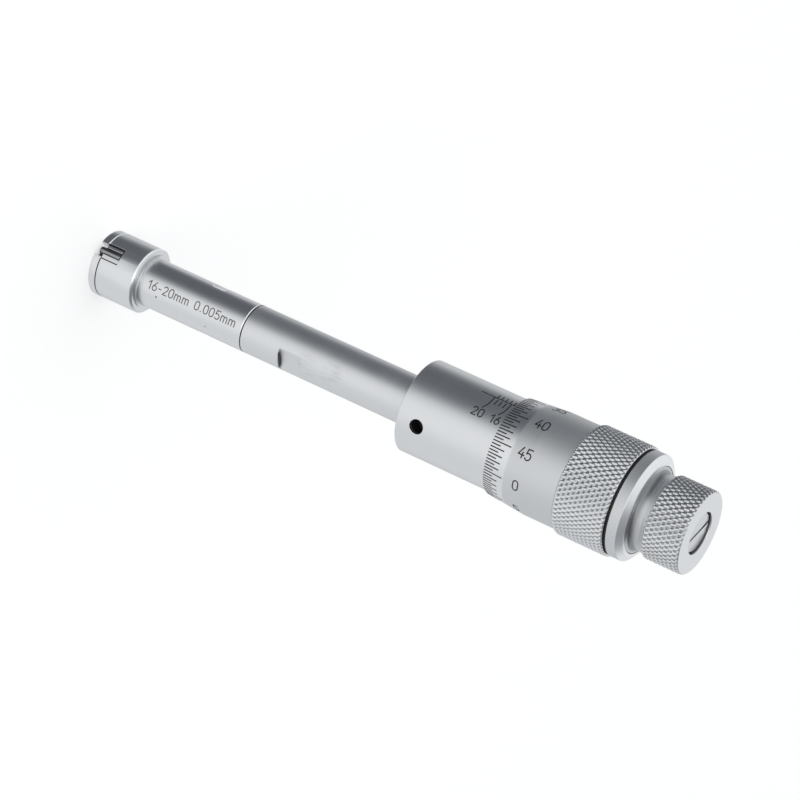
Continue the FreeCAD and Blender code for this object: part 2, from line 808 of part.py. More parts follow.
def inner_body():
    """The body inside the sleeve, on the main barrel: it holds the spindle's nut thread."""
    body = turned(
        "inner_body",
        [
            ("inner_start", "barrel_radius + seat_clearance"),
            ("inner_start", "inner_radius"),
            ("inner_shoulder", "inner_radius"),
            ("inner_shoulder", "nut_seat"),
            ("sleeve_end", "nut_seat"),
            ("sleeve_end", "nut_bore"),
            ("barrel_end + seat_clearance", "nut_bore"),
            ("barrel_end + seat_clearance", "barrel_radius + seat_clearance"),
        ],
    )
    sketch = facing_sketch(body, "spanner_hole_floor", "hole_roll", "hole_floor")
    draw_circle(sketch, "hole_place", "0", "hole_radius")
    cut(body, sketch, "inner_radius")


def adjusting_nut():
    """The nut that closes the slotted end of the inner body on the spindle's thread."""
    body = ring_piece(
        "adjusting_nut", "adjusting_start", "adjusting_end", "nut_seat + seat_clearance",
        "adjusting_radius",
    )
    cut_strip(
        body, "adjusting_nut_slots", "adjusting_end - spanner_slot / 2", "spanner_slot / 2",
        "anvil_roll", "adjusting_radius - spanner_slot / 2", "2 * adjusting_radius", "spanner_slot", 4,
    )


def scale_sleeve():
    """The sleeve that carries the line scale, with the hole for the zero spanner."""
    body = turned(
        "scale_sleeve",
        [
            ("sleeve_start", "sleeve_bore"),
            ("sleeve_start", "sleeve_radius - sleeve_chamfer"),
            ("sleeve_start + sleeve_chamfer", "sleeve_radius"),
            ("sleeve_end", "sleeve_radius"),
            ("sleeve_end", "sleeve_bore"),
        ],
    )
    sketch = facing_sketch(body, "spanner_hole", "hole_roll")
    draw_circle(sketch, "hole_place", "0", "hole_radius")
    cut(body, sketch, "2 * sleeve_radius")


def spindle():
    """The micrometer screw: a plain tip, the thread, a taper for the thimble and a tapped end."""
    turned(
        "spindle",
        [
            ("tip_start", "0"),
            ("tip_start", "tip_radius"),
            ("thread_start", "tip_radius"),
            ("thread_start", "thread_radius"),
            ("taper_start", "thread_radius"),
            ("taper_start", "taper_front"),
            ("taper_end", "taper_rear"),
            ("taper_end", "stud_radius"),
            ("spindle_end", "stud_radius"),
            ("spindle_end", "tap_radius"),
            ("tap_floor", "tap_radius"),
            ("tap_floor", "0"),
        ],
    )


def thimble():
    """The thimble: a bevel for the round scale, a plain band, the knurled grip and the hub."""
    turned(
        "thimble",
        [
            ("thimble_start", "thimble_bore"),
            ("thimble_start", "thimble_edge"),
            ("bevel_end", "thimble_radius"),
            ("knurl_start", "thimble_radius"),
            ("knurl_start + knurl_ramp", "knurl_radius"),
            ("thimble_end - knurl_chamfer", "knurl_radius"),
            ("thimble_end", "knurl_radius - knurl_chamfer"),
            ("thimble_end", "cap_thread"),
            ("web_rear", "cap_thread"),
            ("web_rear", "hub_rear_bore"),
            ("hub_start", "hub_front_bore"),
            ("hub_start", "hub_radius"),
            ("web_front", "hub_radius"),
            ("web_front", "thimble_bore"),
        ],
    )


def thimble_nut():
    """The slotted nut that draws the thimble onto the spindle's taper."""
    body = ring_piece(
        "thimble_nut", "web_rear", "thimble_nut_end", "stud_radius + seat_clearance",
        "thimble_nut_radius",
    )
    cut_strip(
        body, "thimble_nut_slots", "thimble_nut_end - spanner_slot / 2", "spanner_slot / 2",
        "anvil_roll", "thimble_nut_radius - spanner_slot / 2", "2 * thimble_nut_radius", "spanner_slot",
        2,
    )


def sealing_ring():
    """The black ring between the thimble and its cap."""
    ring_piece(
        "sealing_ring", "thimble_end", "cap_start", "cap_thread - seat_clearance", "ring_radius"
    )


def thimble_cap():
    """The cap screwed into the back of the thimble, its flange showing as a plain ring."""
    turned(
        "thimble_cap",
        [
            ("cap_thread_start", "cap_bore"),
            ("cap_thread_start", "cap_thread - 2 * seat_clearance"),
            ("cap_start", "cap_thread - 2 * seat_clearance"),
            ("cap_start", "cap_radius"),
            ("cap_edge", "cap_radius"),
            ("cap_end", "cap_rim"),
            ("cap_end", "cap_mouth"),
            ("cap_step", "cap_mouth"),
            ("cap_step", "cap_bore"),
        ],
    )


def tooth_gaps(body, name, face, deep):
    """Cut the gaps between the saw teeth into one face of a ratchet ring, deep along the axis."""
    sketch = new_sketch(body, name, "XY_Plane")
    draw_outline(sketch, [(face, "0"), (face, "tooth_width"), (deep, "0")])
    pocket = cut(body, sketch, "cavity_radius")
    repeat(body, pocket, (sketch, ["H_Axis"]), int(SIZES["teeth"]))


def ratchet_rings():
    """Two rings with saw teeth on their facing sides: one drives, the other slips with the knob."""
    drive = ring_piece(
        "ratchet_drive_ring", "drive_start", "drive_face", "screw_radius + seat_clearance",
        "drive_radius",
    )
    tooth_gaps(drive, "drive_teeth", "drive_face", "drive_face - tooth_height")
    slip = ring_piece("ratchet_slip_ring", "slip_face", "slip_end", "slip_bore", "drive_radius")
    keys = cross_sketch(slip, "slip_keys", "slip_face + tooth_height", "screw_slot_roll")
    draw_strip(keys, "0 - slip_key_top", "slip_key_top", "slip_key")
    add(slip, keys, "slip_length - tooth_height")
    bore = cross_sketch(slip, "slip_ring_bore", "slip_face", "screw_slot_roll")
    draw_circle(bore, "0", "0", "slip_bore")
    cut(slip, bore, "slip_length")
    tooth_gaps(slip, "slip_teeth", "slip_face", "slip_face + tooth_height")


def ratchet_spring():
    """The spring that presses the slip ring onto the drive ring."""
    coil(
        "ratchet_spring", "slip_end + seat_clearance", "spring_room - 2 * seat_clearance",
        "ratchet_spring_radius", "ratchet_spring_wire", "ratchet_spring_turns",
    )


def ratchet_knob():
    """The knurled knob, with a waisted neck that runs in the cap's mouth and keyways in its cavity."""
    body = turned(
        "ratchet_knob",
        [
            ("neck_front", "cavity_radius"),
            ("neck_front", "neck_front_radius"),
            ("neck_lip", "neck_front_radius"),
            ("neck_low", "neck_radius"),
            ("knob_start", "neck_rear"),
            ("knob_start + knob_chamfer / 2", "knob_radius"),
            ("knob_end - knob_chamfer", "knob_radius"),
            ("knob_end", "knob_radius - knob_chamfer"),
            ("knob_end", "counterbore_radius"),
            ("counterbore_floor", "counterbore_radius"),
            ("counterbore_floor", "screw_radius + running_clearance"),
            ("cavity_end", "screw_radius + running_clearance"),
            ("cavity_end", "cavity_radius"),
        ],
    )
    cut_strip(
        body, "knob_keyways", "neck_front", "cavity_end - neck_front", "screw_slot_roll", "0",
        "slip_key_top + slide_clearance", "slip_key + 2 * slide_clearance", 2,
    )


def ratchet_screw():
    """The slotted screw that holds the knob on the spindle and sits sunk in its end."""
    body = turned(
        "ratchet_screw",
        [
            ("screw_tip", "0"),
            ("screw_tip", "screw_thread"),
            ("drive_start", "screw_thread"),
            ("drive_start", "screw_radius"),
            ("screw_underside", "screw_radius"),
            ("screw_underside", "screw_head"),
            ("screw_top - screw_chamfer", "screw_head"),
            ("screw_top", "screw_head - screw_chamfer"),
            ("screw_top", "0"),
        ],
    )
    cut_across(
        body, "ratchet_screw_slot", "screw_top", "screw_slot_depth", "screw_slot_roll", "2 * screw_head",
        "screw_slot",
    )


def stand_up(body):
    """Turn a piece from the line it was drawn along, X, to stand upright with the scale in front."""
    body.Placement = FreeCAD.Placement(FreeCAD.Vector(0, 0, 0), UPRIGHT)


front_plate()
plate_screws()
head_body()
for number in range(ANVILS):
    anvil(number)
    contact_pin(number)
cone()
ring_piece("guide_bush", "bush_start", "bush_end", "stem_radius + slide_clearance", "cone_radius")
coil(
    "return_spring", "bush_end + seat_clearance", "stem_cap_start - bush_end - 2 * seat_clearance",
    "spring_radius", "spring_wire", "spring_turns",
)
stem_cap()
front_barrel()
main_barrel()
push_rod()
push_rod_guides()
bearing_ball()
inner_body()
adjusting_nut()
scale_sleeve()
spindle()
thimble()
thimble_nut()
sealing_ring()
thimble_cap()
ratchet_rings()
ratchet_spring()
ratchet_knob()
ratchet_screw()
for piece in pieces:
    stand_up(piece)
document.recompute()

for thing in document.Objects:
    if {"Invalid", "Error"} & set(thing.State):
        raise RuntimeError(f"{thing.Label} is {thing.State}")
for piece in pieces:
    if piece.Shape.isNull() or not piece.Shape.isValid():
        raise RuntimeError(f"{piece.Label} has no valid shape")

os.makedirs("parts", exist_ok=True)
for piece in pieces:
    piece.Shape.exportStep(f"parts/{piece.Label}.step")
    box = piece.Shape.BoundBox
    print(f"{piece.Label:20s} solids {len(piece.Shape.Solids)} volume {piece.Shape.Volume:9.2f}", box)
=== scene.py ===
# %% [markdown]
# An inside micrometer measures the width of a bore. A slim barrel goes into the bore, three anvils in its
# head spread until they touch the wall, and the sleeve and the thimble at the other end show the width.
# The CAD model in model.glb gives every solid in metres, in one frame. Its Z axis is the line that every
# piece is turned about, from the measuring face at z = 0 up to the ratchet knob. A roll is an angle about
# that line, counted from -Y, where the scale's base line is. A place is a height along the line. Where the
# turned pieces start and end is read from the frame, so that the surfaces made here meet its solids.

# %% The frame
from math import cos, pi, radians, sin, tan

import bmesh
import bpy
import numpy as np
from mathutils import Matrix, Vector


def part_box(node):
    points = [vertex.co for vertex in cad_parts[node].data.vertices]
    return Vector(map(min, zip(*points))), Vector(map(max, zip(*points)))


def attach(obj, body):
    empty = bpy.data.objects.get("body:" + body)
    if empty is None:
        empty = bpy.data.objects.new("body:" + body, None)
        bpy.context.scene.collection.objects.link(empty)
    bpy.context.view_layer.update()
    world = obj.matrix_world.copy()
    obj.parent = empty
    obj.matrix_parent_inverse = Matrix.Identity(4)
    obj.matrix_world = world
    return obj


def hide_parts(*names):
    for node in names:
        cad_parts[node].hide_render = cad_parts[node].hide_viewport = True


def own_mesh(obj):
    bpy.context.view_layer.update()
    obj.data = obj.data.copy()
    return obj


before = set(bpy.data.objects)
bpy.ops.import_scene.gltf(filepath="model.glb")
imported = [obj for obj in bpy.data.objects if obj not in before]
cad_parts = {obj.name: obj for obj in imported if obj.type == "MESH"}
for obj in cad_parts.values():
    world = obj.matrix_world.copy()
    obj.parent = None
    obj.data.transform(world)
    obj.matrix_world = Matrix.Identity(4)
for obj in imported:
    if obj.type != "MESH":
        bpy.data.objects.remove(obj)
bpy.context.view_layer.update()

MM = 0.001


def span(node):
    """The places where a node of the frame starts and ends, in millimetres and to the micrometre."""
    low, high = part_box(node)
    return round(low[2] / MM, 3), round(high[2] / MM, 3)


PLATE_END, HEAD_END = span("head_body")
FRONT_START, JOINT = span("front_barrel")
MAIN_START, BARREL_END = span("main_barrel")
SLEEVE_START, SLEEVE_END = span("scale_sleeve")
THIMBLE_START, GRIP_END = span("thimble")
CAP_START, CAP_END = span("thimble_cap")
NECK_START, KNOB_END = span("ratchet_knob")
print("head to", HEAD_END, "barrels to", BARREL_END, "thimble to", GRIP_END, "knob to", KNOB_END)

# %% [markdown]
# Steel and chrome look alike until their surfaces are compared: lathe lines, a blasted grain, ground
# faces, old dirt. All of it is written as arithmetic on the object's own coordinates. One small class
# turns Python's operators into Math nodes, so that a finish reads like a formula.


# %% Shader arithmetic
class Wire:
    """A socket whose sums and products become Math nodes of its tree."""

    def __init__(self, tree, socket):
        self.tree, self.socket = tree, socket

    def math(self, operation, first, second):
        return self.tree.node("ShaderNodeMath", {"operation": operation}, [first, second])[0]

    def __add__(self, other):
        return self.math("ADD", self, other)

    def __sub__(self, other):
        return self.math("SUBTRACT", self, other)

    def __rsub__(self, other):
        return self.math("SUBTRACT", other, self)

    def __mul__(self, other):
        return self.math("MULTIPLY", self, other)

    def __truediv__(self, other):
        return self.math("DIVIDE", self, other)

    __radd__, __rmul__ = __add__, __mul__

    def above(self, low, high):
        """0 below low and 1 above high, with a smooth step between them; high may be the lower one."""
        settings = {"interpolation_type": "SMOOTHSTEP"}
        inputs = {"Value": self, "From Min": low, "From Max": high}
        return self.tree.node("ShaderNodeMapRange", settings, inputs)[0]


class Tree:
    """The nodes of a material or of the world."""

    def __init__(self, owner):
        owner.use_nodes = True
        self.tree = owner.node_tree
        self.tree.nodes.clear()

    def node(self, kind, settings=None, inputs=()):
        """A node with its settings made first, then its sockets by name or in order. It gives its outputs."""
        node = self.tree.nodes.new(kind)
        for name, value in (settings or {}).items():
            setattr(node, name, value)
        pairs = inputs.items() if isinstance(inputs, dict) else enumerate(inputs)
        for key, value in pairs:
            if isinstance(value, Wire):
                self.tree.links.new(value.socket, node.inputs[key])
            else:
                node.inputs[key].default_value = value
        return [Wire(self, socket) for socket in node.outputs]

    def mix(self, factor, first, second):
        """The first colour where the factor is 0 and the second where it is 1."""
        return self.node("ShaderNodeMix", {"data_type": "RGBA"}, {0: factor, 6: first, 7: second})[2]

    def vector(self, operation, *values):
        """A sum, product or the like of vectors: output 0 is a vector and output 1 a number."""
        return self.node("ShaderNodeVectorMath", {"operation": operation}, values)

    def height(self, place):
        """The z of a place, which is how far up the line it is."""
        return self.node("ShaderNodeSeparateXYZ", {}, [place])[2]

    def noise(self, place, scale, detail=2.0, rough=0.5):
        """Noise at a place; scale is its number of features in a metre."""
        inputs = {"Vector": place, "Scale": scale, "Detail": detail, "Roughness": rough}
        return self.node("ShaderNodeTexNoise", {}, inputs)[0]

    def stretched(self, place, across, along):
        """The place with its x and y multiplied by across and its z by along."""
        return self.vector("MULTIPLY", place, (across, across, along))[0]

    def relief(self, height, strength):
        """A normal that is tilted by a relief of ten micrometres times the height."""
        inputs = {"Strength": strength, "Distance": 0.00001, "Height": height}
        return self.node("ShaderNodeBump", {}, inputs)[0]

    def surface(self, color, rough, normal, metallic=0.0):
        """The surface of a material and its output."""
        inputs = {"Base Color": color, "Metallic": metallic, "Roughness": rough, "Normal": normal}
        shader = self.node("ShaderNodeBsdfPrincipled", {}, inputs)[0]
        self.node("ShaderNodeOutputMaterial", {}, {"Surface": shader})


def rgb(grey, warm=0.0):
    """A nearly neutral colour; a negative warmth makes it bluer."""
    return (grey * (1 + warm), grey, grey * (1 - warm), 1)


# %% [markdown]
# Every bright finish is metal with three layers of unevenness. Lathe lines run round the piece, because
# noise that is stretched far more across the line than along it looks like fine rings. A grain stands for
# blasting before the chrome. Broad clouds stand for handling, and change the gloss more than the colour.


# %% Metal finishes
def started(name):
    """A new material, its nodes, and the place of the point that is shaded in the object's coordinates."""
    finish = bpy.data.materials.new(name)
    tree = Tree(finish)
    return finish, tree, tree.node("ShaderNodeTexCoord")[3]


def metal(name, grey, gloss, rings=0.0, grain=0.0, clouds=0.05, tint=-0.018, marks=None):
    """A metal of a grey and a roughness; rings and grain are the strengths of its lines and its blasting."""
    finish, tree, place = started(name)
    lines = tree.noise(tree.stretched(place, 60, 9000), 1.0, 3.0, 0.65)
    coarse = tree.noise(tree.stretched(place, 25, 1800), 1.0, 2.0)
    blasted = tree.noise(place, 9000, 2.0)
    cloud = tree.noise(place, 160, 3.0)
    rough = gloss + (lines - 0.5) * (0.5 * rings) + (blasted - 0.5) * (0.5 * grain)
    rough = rough + (cloud - 0.5) * clouds + (coarse - 0.5) * (0.25 * rings)
    shade = (lines - 0.5) * (0.3 * rings) + (cloud - 0.5) * (0.8 * clouds)
    shade = shade + (blasted - 0.5) * (0.3 * grain) + 0.5
    color = tree.mix(shade, rgb(grey * 0.8, tint), rgb(grey * 1.2, tint))
    if marks is not None:
        color, rough = marks(tree, place, color, rough)
    tree.surface(color, rough, tree.relief(lines * rings + blasted * grain, 0.25), 1.0)
    return finish


turned_steel = metal("turned_steel", 0.70, 0.33, rings=0.16, grain=0.05)
ground_steel = metal("ground_steel", 0.60, 0.3, rings=0.05, grain=0.1)
screw_steel = metal("screw_steel", 0.68, 0.32, rings=0.0, grain=0.08)
# Nearly black, for the inner body: painted shade at the bottom of the spanner hole, where it shows.
dark_hole_steel = metal("dark_hole_steel", 0.08, 0.5, rings=0.1, grain=0.1)
bronze = metal("bronze", 0.45, 0.35, rings=0.1, grain=0.05, tint=0.25)
spring_steel = metal("spring_steel", 0.45, 0.35, rings=0.0, grain=0.08)
sleeve_chrome = metal("sleeve_chrome", 0.70, 0.36, rings=0.06, grain=0.1)
print("plain metals ready")

# %% [markdown]
# Both barrels are marked by use. The front one has two pits full of dirt. On the other one a lens of painted
# shade darkens the corner of the spanner flat, on the flat's wall, and there are faint smudges. A mark is a
# smooth spot about a point, or a formula in distances up the line, out through the flat and across it.


# %% Steel of the barrels
BARREL = 5.5
FLAT_START, FLAT_END, FLAT_HEIGHT, FLAT_ROLL = 49.5, 55.1, 4.5, 100.0
LENS_HALF, LENS_HEIGHT = 2.7, 0.4
flat_sine, flat_cosine = sin(radians(FLAT_ROLL)), cos(radians(FLAT_ROLL))
FLAT_WAY, FLAT_SIDE = (flat_sine, -flat_cosine, 0), (flat_cosine, flat_sine, 0)


def spot(tree, place, along, roll, size):
    """1 at a point of the barrel and 0 at the size away from it, all in millimetres and degrees."""
    turn = radians(roll)
    middle = (BARREL * sin(turn) * MM, -BARREL * cos(turn) * MM, along * MM)
    return tree.vector("DISTANCE", place, middle)[1].above(size * MM, size * 0.4 * MM)


def specks(tree, place, color, rough):
    """Two small pits that hold dirt."""
    dirt = spot(tree, place, along=17.0, roll=78.1, size=0.3)
    dirt = dirt + spot(tree, place, along=30.3, roll=95.9, size=0.28) * 0.6
    return tree.mix(dirt * 0.9, color, rgb(0.03)), rough + dirt * 0.2


def handled(tree, place, color, rough):
    """Painted shade in the flat's corner, no higher than height (1 - (across / half)^2), and two faint
    smudges.
    """
    share = tree.vector("DOT_PRODUCT", place, FLAT_SIDE)[1] / (LENS_HALF * MM)
    out = tree.vector("DOT_PRODUCT", place, FLAT_WAY)[1]
    up = tree.height(place) - FLAT_START * MM
    lens = (1 - share * share) * (LENS_HEIGHT * MM) - (up + 0.08 * MM)
    corner = lens.above(0.0, 0.12 * MM) * up.above(-0.2 * MM, -0.1 * MM) * out.above(5.35 * MM, 5.2 * MM)
    uneven = tree.noise(tree.stretched(place, 1500, 260), 1.0, 3.0).above(0.4, 0.85)
    smudge = spot(tree, place, along=56.5, roll=80, size=3.6)
    smudge = (smudge + spot(tree, place, along=63.0, roll=73, size=3.6)) * uneven * 0.32
    color = tree.mix(smudge, color, rgb(0.3))
    return tree.mix(corner * 0.88, color, rgb(0.08)), rough + smudge * 0.2


front_steel = metal("front_steel", 0.70, 0.33, rings=0.16, grain=0.05, marks=specks)
soft_steel = metal("soft_steel", 0.70, 0.45, rings=0.12, grain=0.08, clouds=0.12, marks=handled)
print("barrel steels ready")

# %% [markdown]
# The thimble, the cap and the knob are chromed, and each is finished differently along its length. A mark
# that depends on the height up the line alone gives every band its own brightness; in the hollow of the
# knob's neck it is painted shade. Between the tips of a knurl the metal is darkened by painted shade, and
# how much is a number that the mesh brings along at each point.


# %% Chrome of the thimble, the cap and the knob
BEVEL_GROUND, CAP_BEVEL = 109.5, 137.1


def finer(dull_place, fine_place, share, color_there, smoother):
    """A mark for a bevel that is finer worked than the satin beside it. From one place to the other the
    metal takes on a share of a brighter colour and gets smoother."""

    def marks(tree, place, color, rough):
        fine = tree.height(place).above(dull_place * MM, fine_place * MM)
        return tree.mix(fine * share, color, color_there), rough - fine * smoother

    return marks


def oily(tree, place, color, rough):
    """Painted shade makes the metal darker and duller where the points say so, as between the tips of a
    knurl.
    """
    painted_shade = tree.node("ShaderNodeAttribute", {"attribute_name": "painted_shade"})[2]
    return tree.mix(painted_shade * 0.9, color, rgb(0.1, -0.03)), rough + painted_shade * 0.2


def shaded_neck(tree, place, color, rough):
    """Painted shade in the hollow of the knob's neck beside the cap."""
    up = tree.height(place) - CAP_END * MM
    hollow = up.above(-0.08 * MM, 0.2 * MM) * up.above(2.0 * MM, 0.5 * MM)
    return tree.mix(hollow * 0.75, color, rgb(0.16, -0.03)), rough


bevel = finer(BEVEL_GROUND + 0.6, BEVEL_GROUND, 0.8, rgb(0.74, -0.018), 0.18)
rim = finer(CAP_BEVEL - 0.05, CAP_BEVEL + 0.05, 0.9, rgb(0.9, -0.02), 0.16)
thimble_chrome = metal("thimble_chrome", 0.66, 0.54, rings=0.05, grain=0.12, marks=bevel)
knurled_chrome = metal("knurled_chrome", 0.74, 0.3, rings=0.0, grain=0.2, marks=oily)
neck_chrome = metal("neck_chrome", 0.6, 0.36, rings=0.08, grain=0.12, clouds=0.1, marks=shaded_neck)
bright_chrome = metal("bright_chrome", 0.66, 0.54, rings=0.08, grain=0.12, clouds=0.22, marks=rim)
carbide = metal("carbide", 0.3, 0.26, rings=0.0, grain=0.08, marks=oily)
print("chromes ready")

# %% [markdown]
# The graduations are cut and filled with a dull black paint, a hard black ring sits behind the thimble, and
# one near-black surface is both the grime and the painted shadow in the joints, and the painted shade in
# the anvils' gaps and notches. None is metal, so all are plain dark surfaces with a little unevenness.


# %% Paint, black ring, grime and painted shade
def dull(name, grey, gloss, patchy):
    """A dark surface whose grey and gloss wander a little."""
    finish, tree, place = started(name)
    patches = tree.noise(place, 3500, 3.0)
    color = tree.mix(patches, rgb(grey * (1 - patchy), -0.02), rgb(grey * (1 + patchy), -0.02))
    tree.surface(color, gloss + (patches - 0.5) * 0.2, tree.relief(patches, 0.3))
    return finish


scale_paint = dull("scale_paint", 0.012, 0.7, patchy=0.5)
etched_grey = dull("etched_grey", 0.13, 0.6, patchy=0.35)
black_ring = dull("black_ring", 0.004, 0.6, patchy=0.4)
# Near-black: grime with painted shadow in the joints, and painted shade in the anvils' gaps and notches.
grime_and_shade = dull("grime_and_shade", 0.006, 0.6, patchy=0.5)
print("dark finishes ready")

# %% [markdown]
# A turned surface is a profile of places and radii carried round the line. Both can be worked out as
# whole arrays: the profile runs down the rows of a grid, and the roll along its columns.


# %% Points, faces and pieces
def around(place, radius, roll):
    """x = radius sin(roll), y = -radius cos(roll), z = place, from millimetres to metres."""
    parts = np.broadcast_arrays(radius * np.sin(roll), -radius * np.cos(roll), place)
    return np.stack(parts, -1) * MM


def rolls(count):
    """Evenly spaced rolls of a whole turn."""
    return np.arange(count) * 2 * pi / count


def grid_faces(rows, columns, wrap=True):
    """Corner (i, j) joins (i+1, j), (i+1, j+1) and (i, j+1). The columns close on themselves, and with
    wrap the rows do too."""
    i, j = np.meshgrid(np.arange(rows if wrap else rows - 1), np.arange(columns), indexing="ij")

    def corner(a, b):
        return (a % rows) * columns + b % columns

    corners = [corner(i, j), corner(i + 1, j), corner(i + 1, j + 1), corner(i, j + 1)]
    return np.stack(corners, -1).reshape(-1, 4)


def capped_faces(rows, columns):
    """A stack of loops with an even number of points: the bands between them, and a lid of quads across
    the first and the last loop."""
    near = np.arange(columns // 2)
    far = columns - 1 - near
    lid = np.stack([near[:-1], near[1:], far[1:], far[:-1]], -1)
    return np.concatenate([grid_faces(rows, columns, False), lid, lid[:, ::-1] + (rows - 1) * columns])


def joined(shapes):
    """The points and faces of several shapes as those of one."""
    starts = np.cumsum([0] + [len(points) for points, faces in shapes])
    points = np.concatenate([points for points, faces in shapes])
    return points, np.concatenate([faces + start for (points, faces), start in zip(shapes, starts)])


def outward(points, faces):
    """The sum of a . (b x c) over the faces is six times the volume inside. Where it is negative, the faces
    are turned round."""
    a, b, c, d = (points[faces[:, k]] for k in range(4))
    volume = (np.einsum("ij,ij", a, np.cross(b, c)) + np.einsum("ij,ij", a, np.cross(c, d))) / 6
    return faces if volume > 0 else faces[:, ::-1]


def placed(name, data):
    """A new object of the scene."""
    thing = bpy.data.objects.new(name, data)
    bpy.context.scene.collection.objects.link(thing)
    return thing


def piece(name, mesh, finish, body, nodes):
    """A mesh as a smooth piece with its finish. It rides on a body and may stand for nodes of the frame."""
    mesh.shade_smooth()
    mesh.materials.append(finish)
    thing = placed(name, mesh)
    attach(thing, body)
    if nodes:
        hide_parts(*nodes)
    print(name, len(mesh.polygons), "faces")
    return thing


def make(name, points, faces, finish, body, slot, nodes=(), values=None):
    """A piece from the points and quads of a closed shape. Each of the values is an attribute with one
    number a point, which the finish can read."""
    points = points.reshape(-1, 3)
    mesh = bpy.data.meshes.new(name)
    mesh.from_pydata(points.tolist(), [], outward(points, faces).tolist())
    for title, numbers in (values or {}).items():
        mesh.attributes.new(title, "FLOAT", "POINT").data.foreach_set("value", np.ravel(numbers))
    return piece(name, mesh, finish, body, nodes)


# %% [markdown]
# No edge of the real pieces is sharp. Each corner of a profile becomes a short curve, and a shape that isn't
# quite round all the way, such as a barrel with flats, changes its radii once they are a whole grid.


# %% Turned pieces
def rounded(corners, radius=0.12, steps=3):
    """Each corner c of a closed outline, cut back to a and b on its two edges, becomes the curve
    (1-t)^2 a + 2t(1-t) c + t^2 b. One more point beside each end keeps the flats beside it flat. On a
    short edge the curve takes 0.44 of it at most, and that point is at 0.48."""
    c = np.array(corners, float)
    before, after = np.roll(c, 1, 0) - c, np.roll(c, -1, 0) - c

    def share(edge, size, most):
        return np.minimum(size / np.linalg.norm(edge, axis=1, keepdims=True), most)

    a, b = c + before * share(before, radius, 0.44), c + after * share(after, radius, 0.44)
    t = np.linspace(0, 1, steps + 1)[None, :, None]
    curve = (1 - t) ** 2 * a[:, None] + 2 * t * (1 - t) * c[:, None] + t**2 * b[:, None]
    first = c + before * share(before, 1.35 * radius, 0.48)
    last = c + after * share(after, 1.35 * radius, 0.48)
    return np.concatenate([first[:, None], curve, last[:, None]], 1).reshape(-1, 2)


def turned(name, corners, finish, body, slot, nodes=(), radius=0.12, count=192, carve=None):
    """A closed outline of (place, radius) carried round the line; carve(place, radius, roll) may cut it."""
    outline = rounded(corners, radius)
    place, out, roll = outline[:, :1], outline[:, 1:], rolls(count)[None, :]
    out = np.broadcast_to(out, (len(outline), count))
    out = out if carve is None else carve(place, out, roll)
    make(name, around(place, out, roll), grid_faces(len(outline), count), finish, body, slot, nodes)


# %% [markdown]
# The slotted head, its anvils and the small screws already have their true shapes in the frame, but their
# edges are knife sharp. A copy of such a node is merged, its flat faces are joined, and a narrow bevel
# catches the light along the edges, as a broken edge does on the real piece.


# %% Softened copies of the frame's nodes
def softened(node, finish, body, width=0.05):
    """A merged copy of a node. Faces that meet at under half a degree are joined, and edges that turn by
    more than 28 degrees get a bevel of the width."""
    shape = bmesh.new()
    shape.from_mesh(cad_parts[node].data)
    bmesh.ops.remove_doubles(shape, verts=shape.verts, dist=1e-7)
    bmesh.ops.dissolve_limit(shape, angle_limit=radians(0.5), verts=shape.verts, edges=shape.edges)
    mesh = bpy.data.meshes.new(node + "_soft")
    shape.to_mesh(mesh)
    shape.free()
    thing = piece(mesh.name, mesh, finish, body, [node])
    bevel = thing.modifiers.new("bevel", "BEVEL")
    bevel.width, bevel.segments, bevel.limit_method = width * MM, 2, "ANGLE"
    bevel.angle_limit = radians(28)
    bevel.use_clamp_overlap, bevel.harden_normals = False, True


softened("front_plate", turned_steel, "body")
softened("head_body", turned_steel, "body")
softened("plate_screws", screw_steel, "body", width=0.03)
for number in (1, 2, 3):
    softened(f"anvil_{number}", ground_steel, f"jaw_{number}", width=0.03)
softened("ratchet_screw", screw_steel, "screw_and_thimble", width=0.06)

# %% [markdown]
# Both barrels are plain turned tubes with two milled flats each. A flat is a chord: at an angle d from
# its middle the surface is no further out than the flat's height over cos(d).

# %% Barrels
HEAD_BORE, COLLAR, COLLAR_END = 3.93, 6.2, 12.25
SMALL_FLAT_START, SMALL_FLAT_END, SMALL_FLAT_HEIGHT, SMALL_FLAT_ROLL = 27.2, 30.6, 5.23, 332.0


def flats(start, end, height, middle):
    """Two opposite flats between two places: the radius is at most height / |cos(roll - middle)|. Bores,
    more than 1.4 mm inside the flats, stay round."""

    def carve(place, out, roll):
        chord = height / np.maximum(np.abs(np.cos(roll - radians(middle))), 0.2)
        inside = (place > start) & (place < end) & (out > height - 1.4)
        return np.where(inside, np.minimum(out, chord), out)

    return carve


turned(
    "front_barrel_tube",
    [
        (FRONT_START, HEAD_BORE), (FRONT_START, 4.85), (HEAD_END, 4.85), (HEAD_END, COLLAR),
        (COLLAR_END, COLLAR), (COLLAR_END, BARREL), (SMALL_FLAT_START, BARREL), (SMALL_FLAT_END, BARREL),
        (JOINT, BARREL), (JOINT, 4.62), (MAIN_START, 4.62), (MAIN_START, HEAD_BORE),
    ],
    front_steel, "body", "ground_steel", ["front_barrel"], radius=0.1,
    carve=flats(SMALL_FLAT_START, SMALL_FLAT_END, SMALL_FLAT_HEIGHT, SMALL_FLAT_ROLL),
)
turned(
    "main_barrel_tube",
    [
        (MAIN_START, 2.6), (MAIN_START, 4.6), (JOINT, 4.6), (JOINT, BARREL), (FLAT_START, BARREL),
        (FLAT_END, BARREL), (BARREL_END, BARREL), (BARREL_END, 2.6),
    ],
    soft_steel, "body", "ground_steel", ["main_barrel"], radius=0.1,
    carve=flats(FLAT_START, FLAT_END, FLAT_HEIGHT, FLAT_ROLL),
)

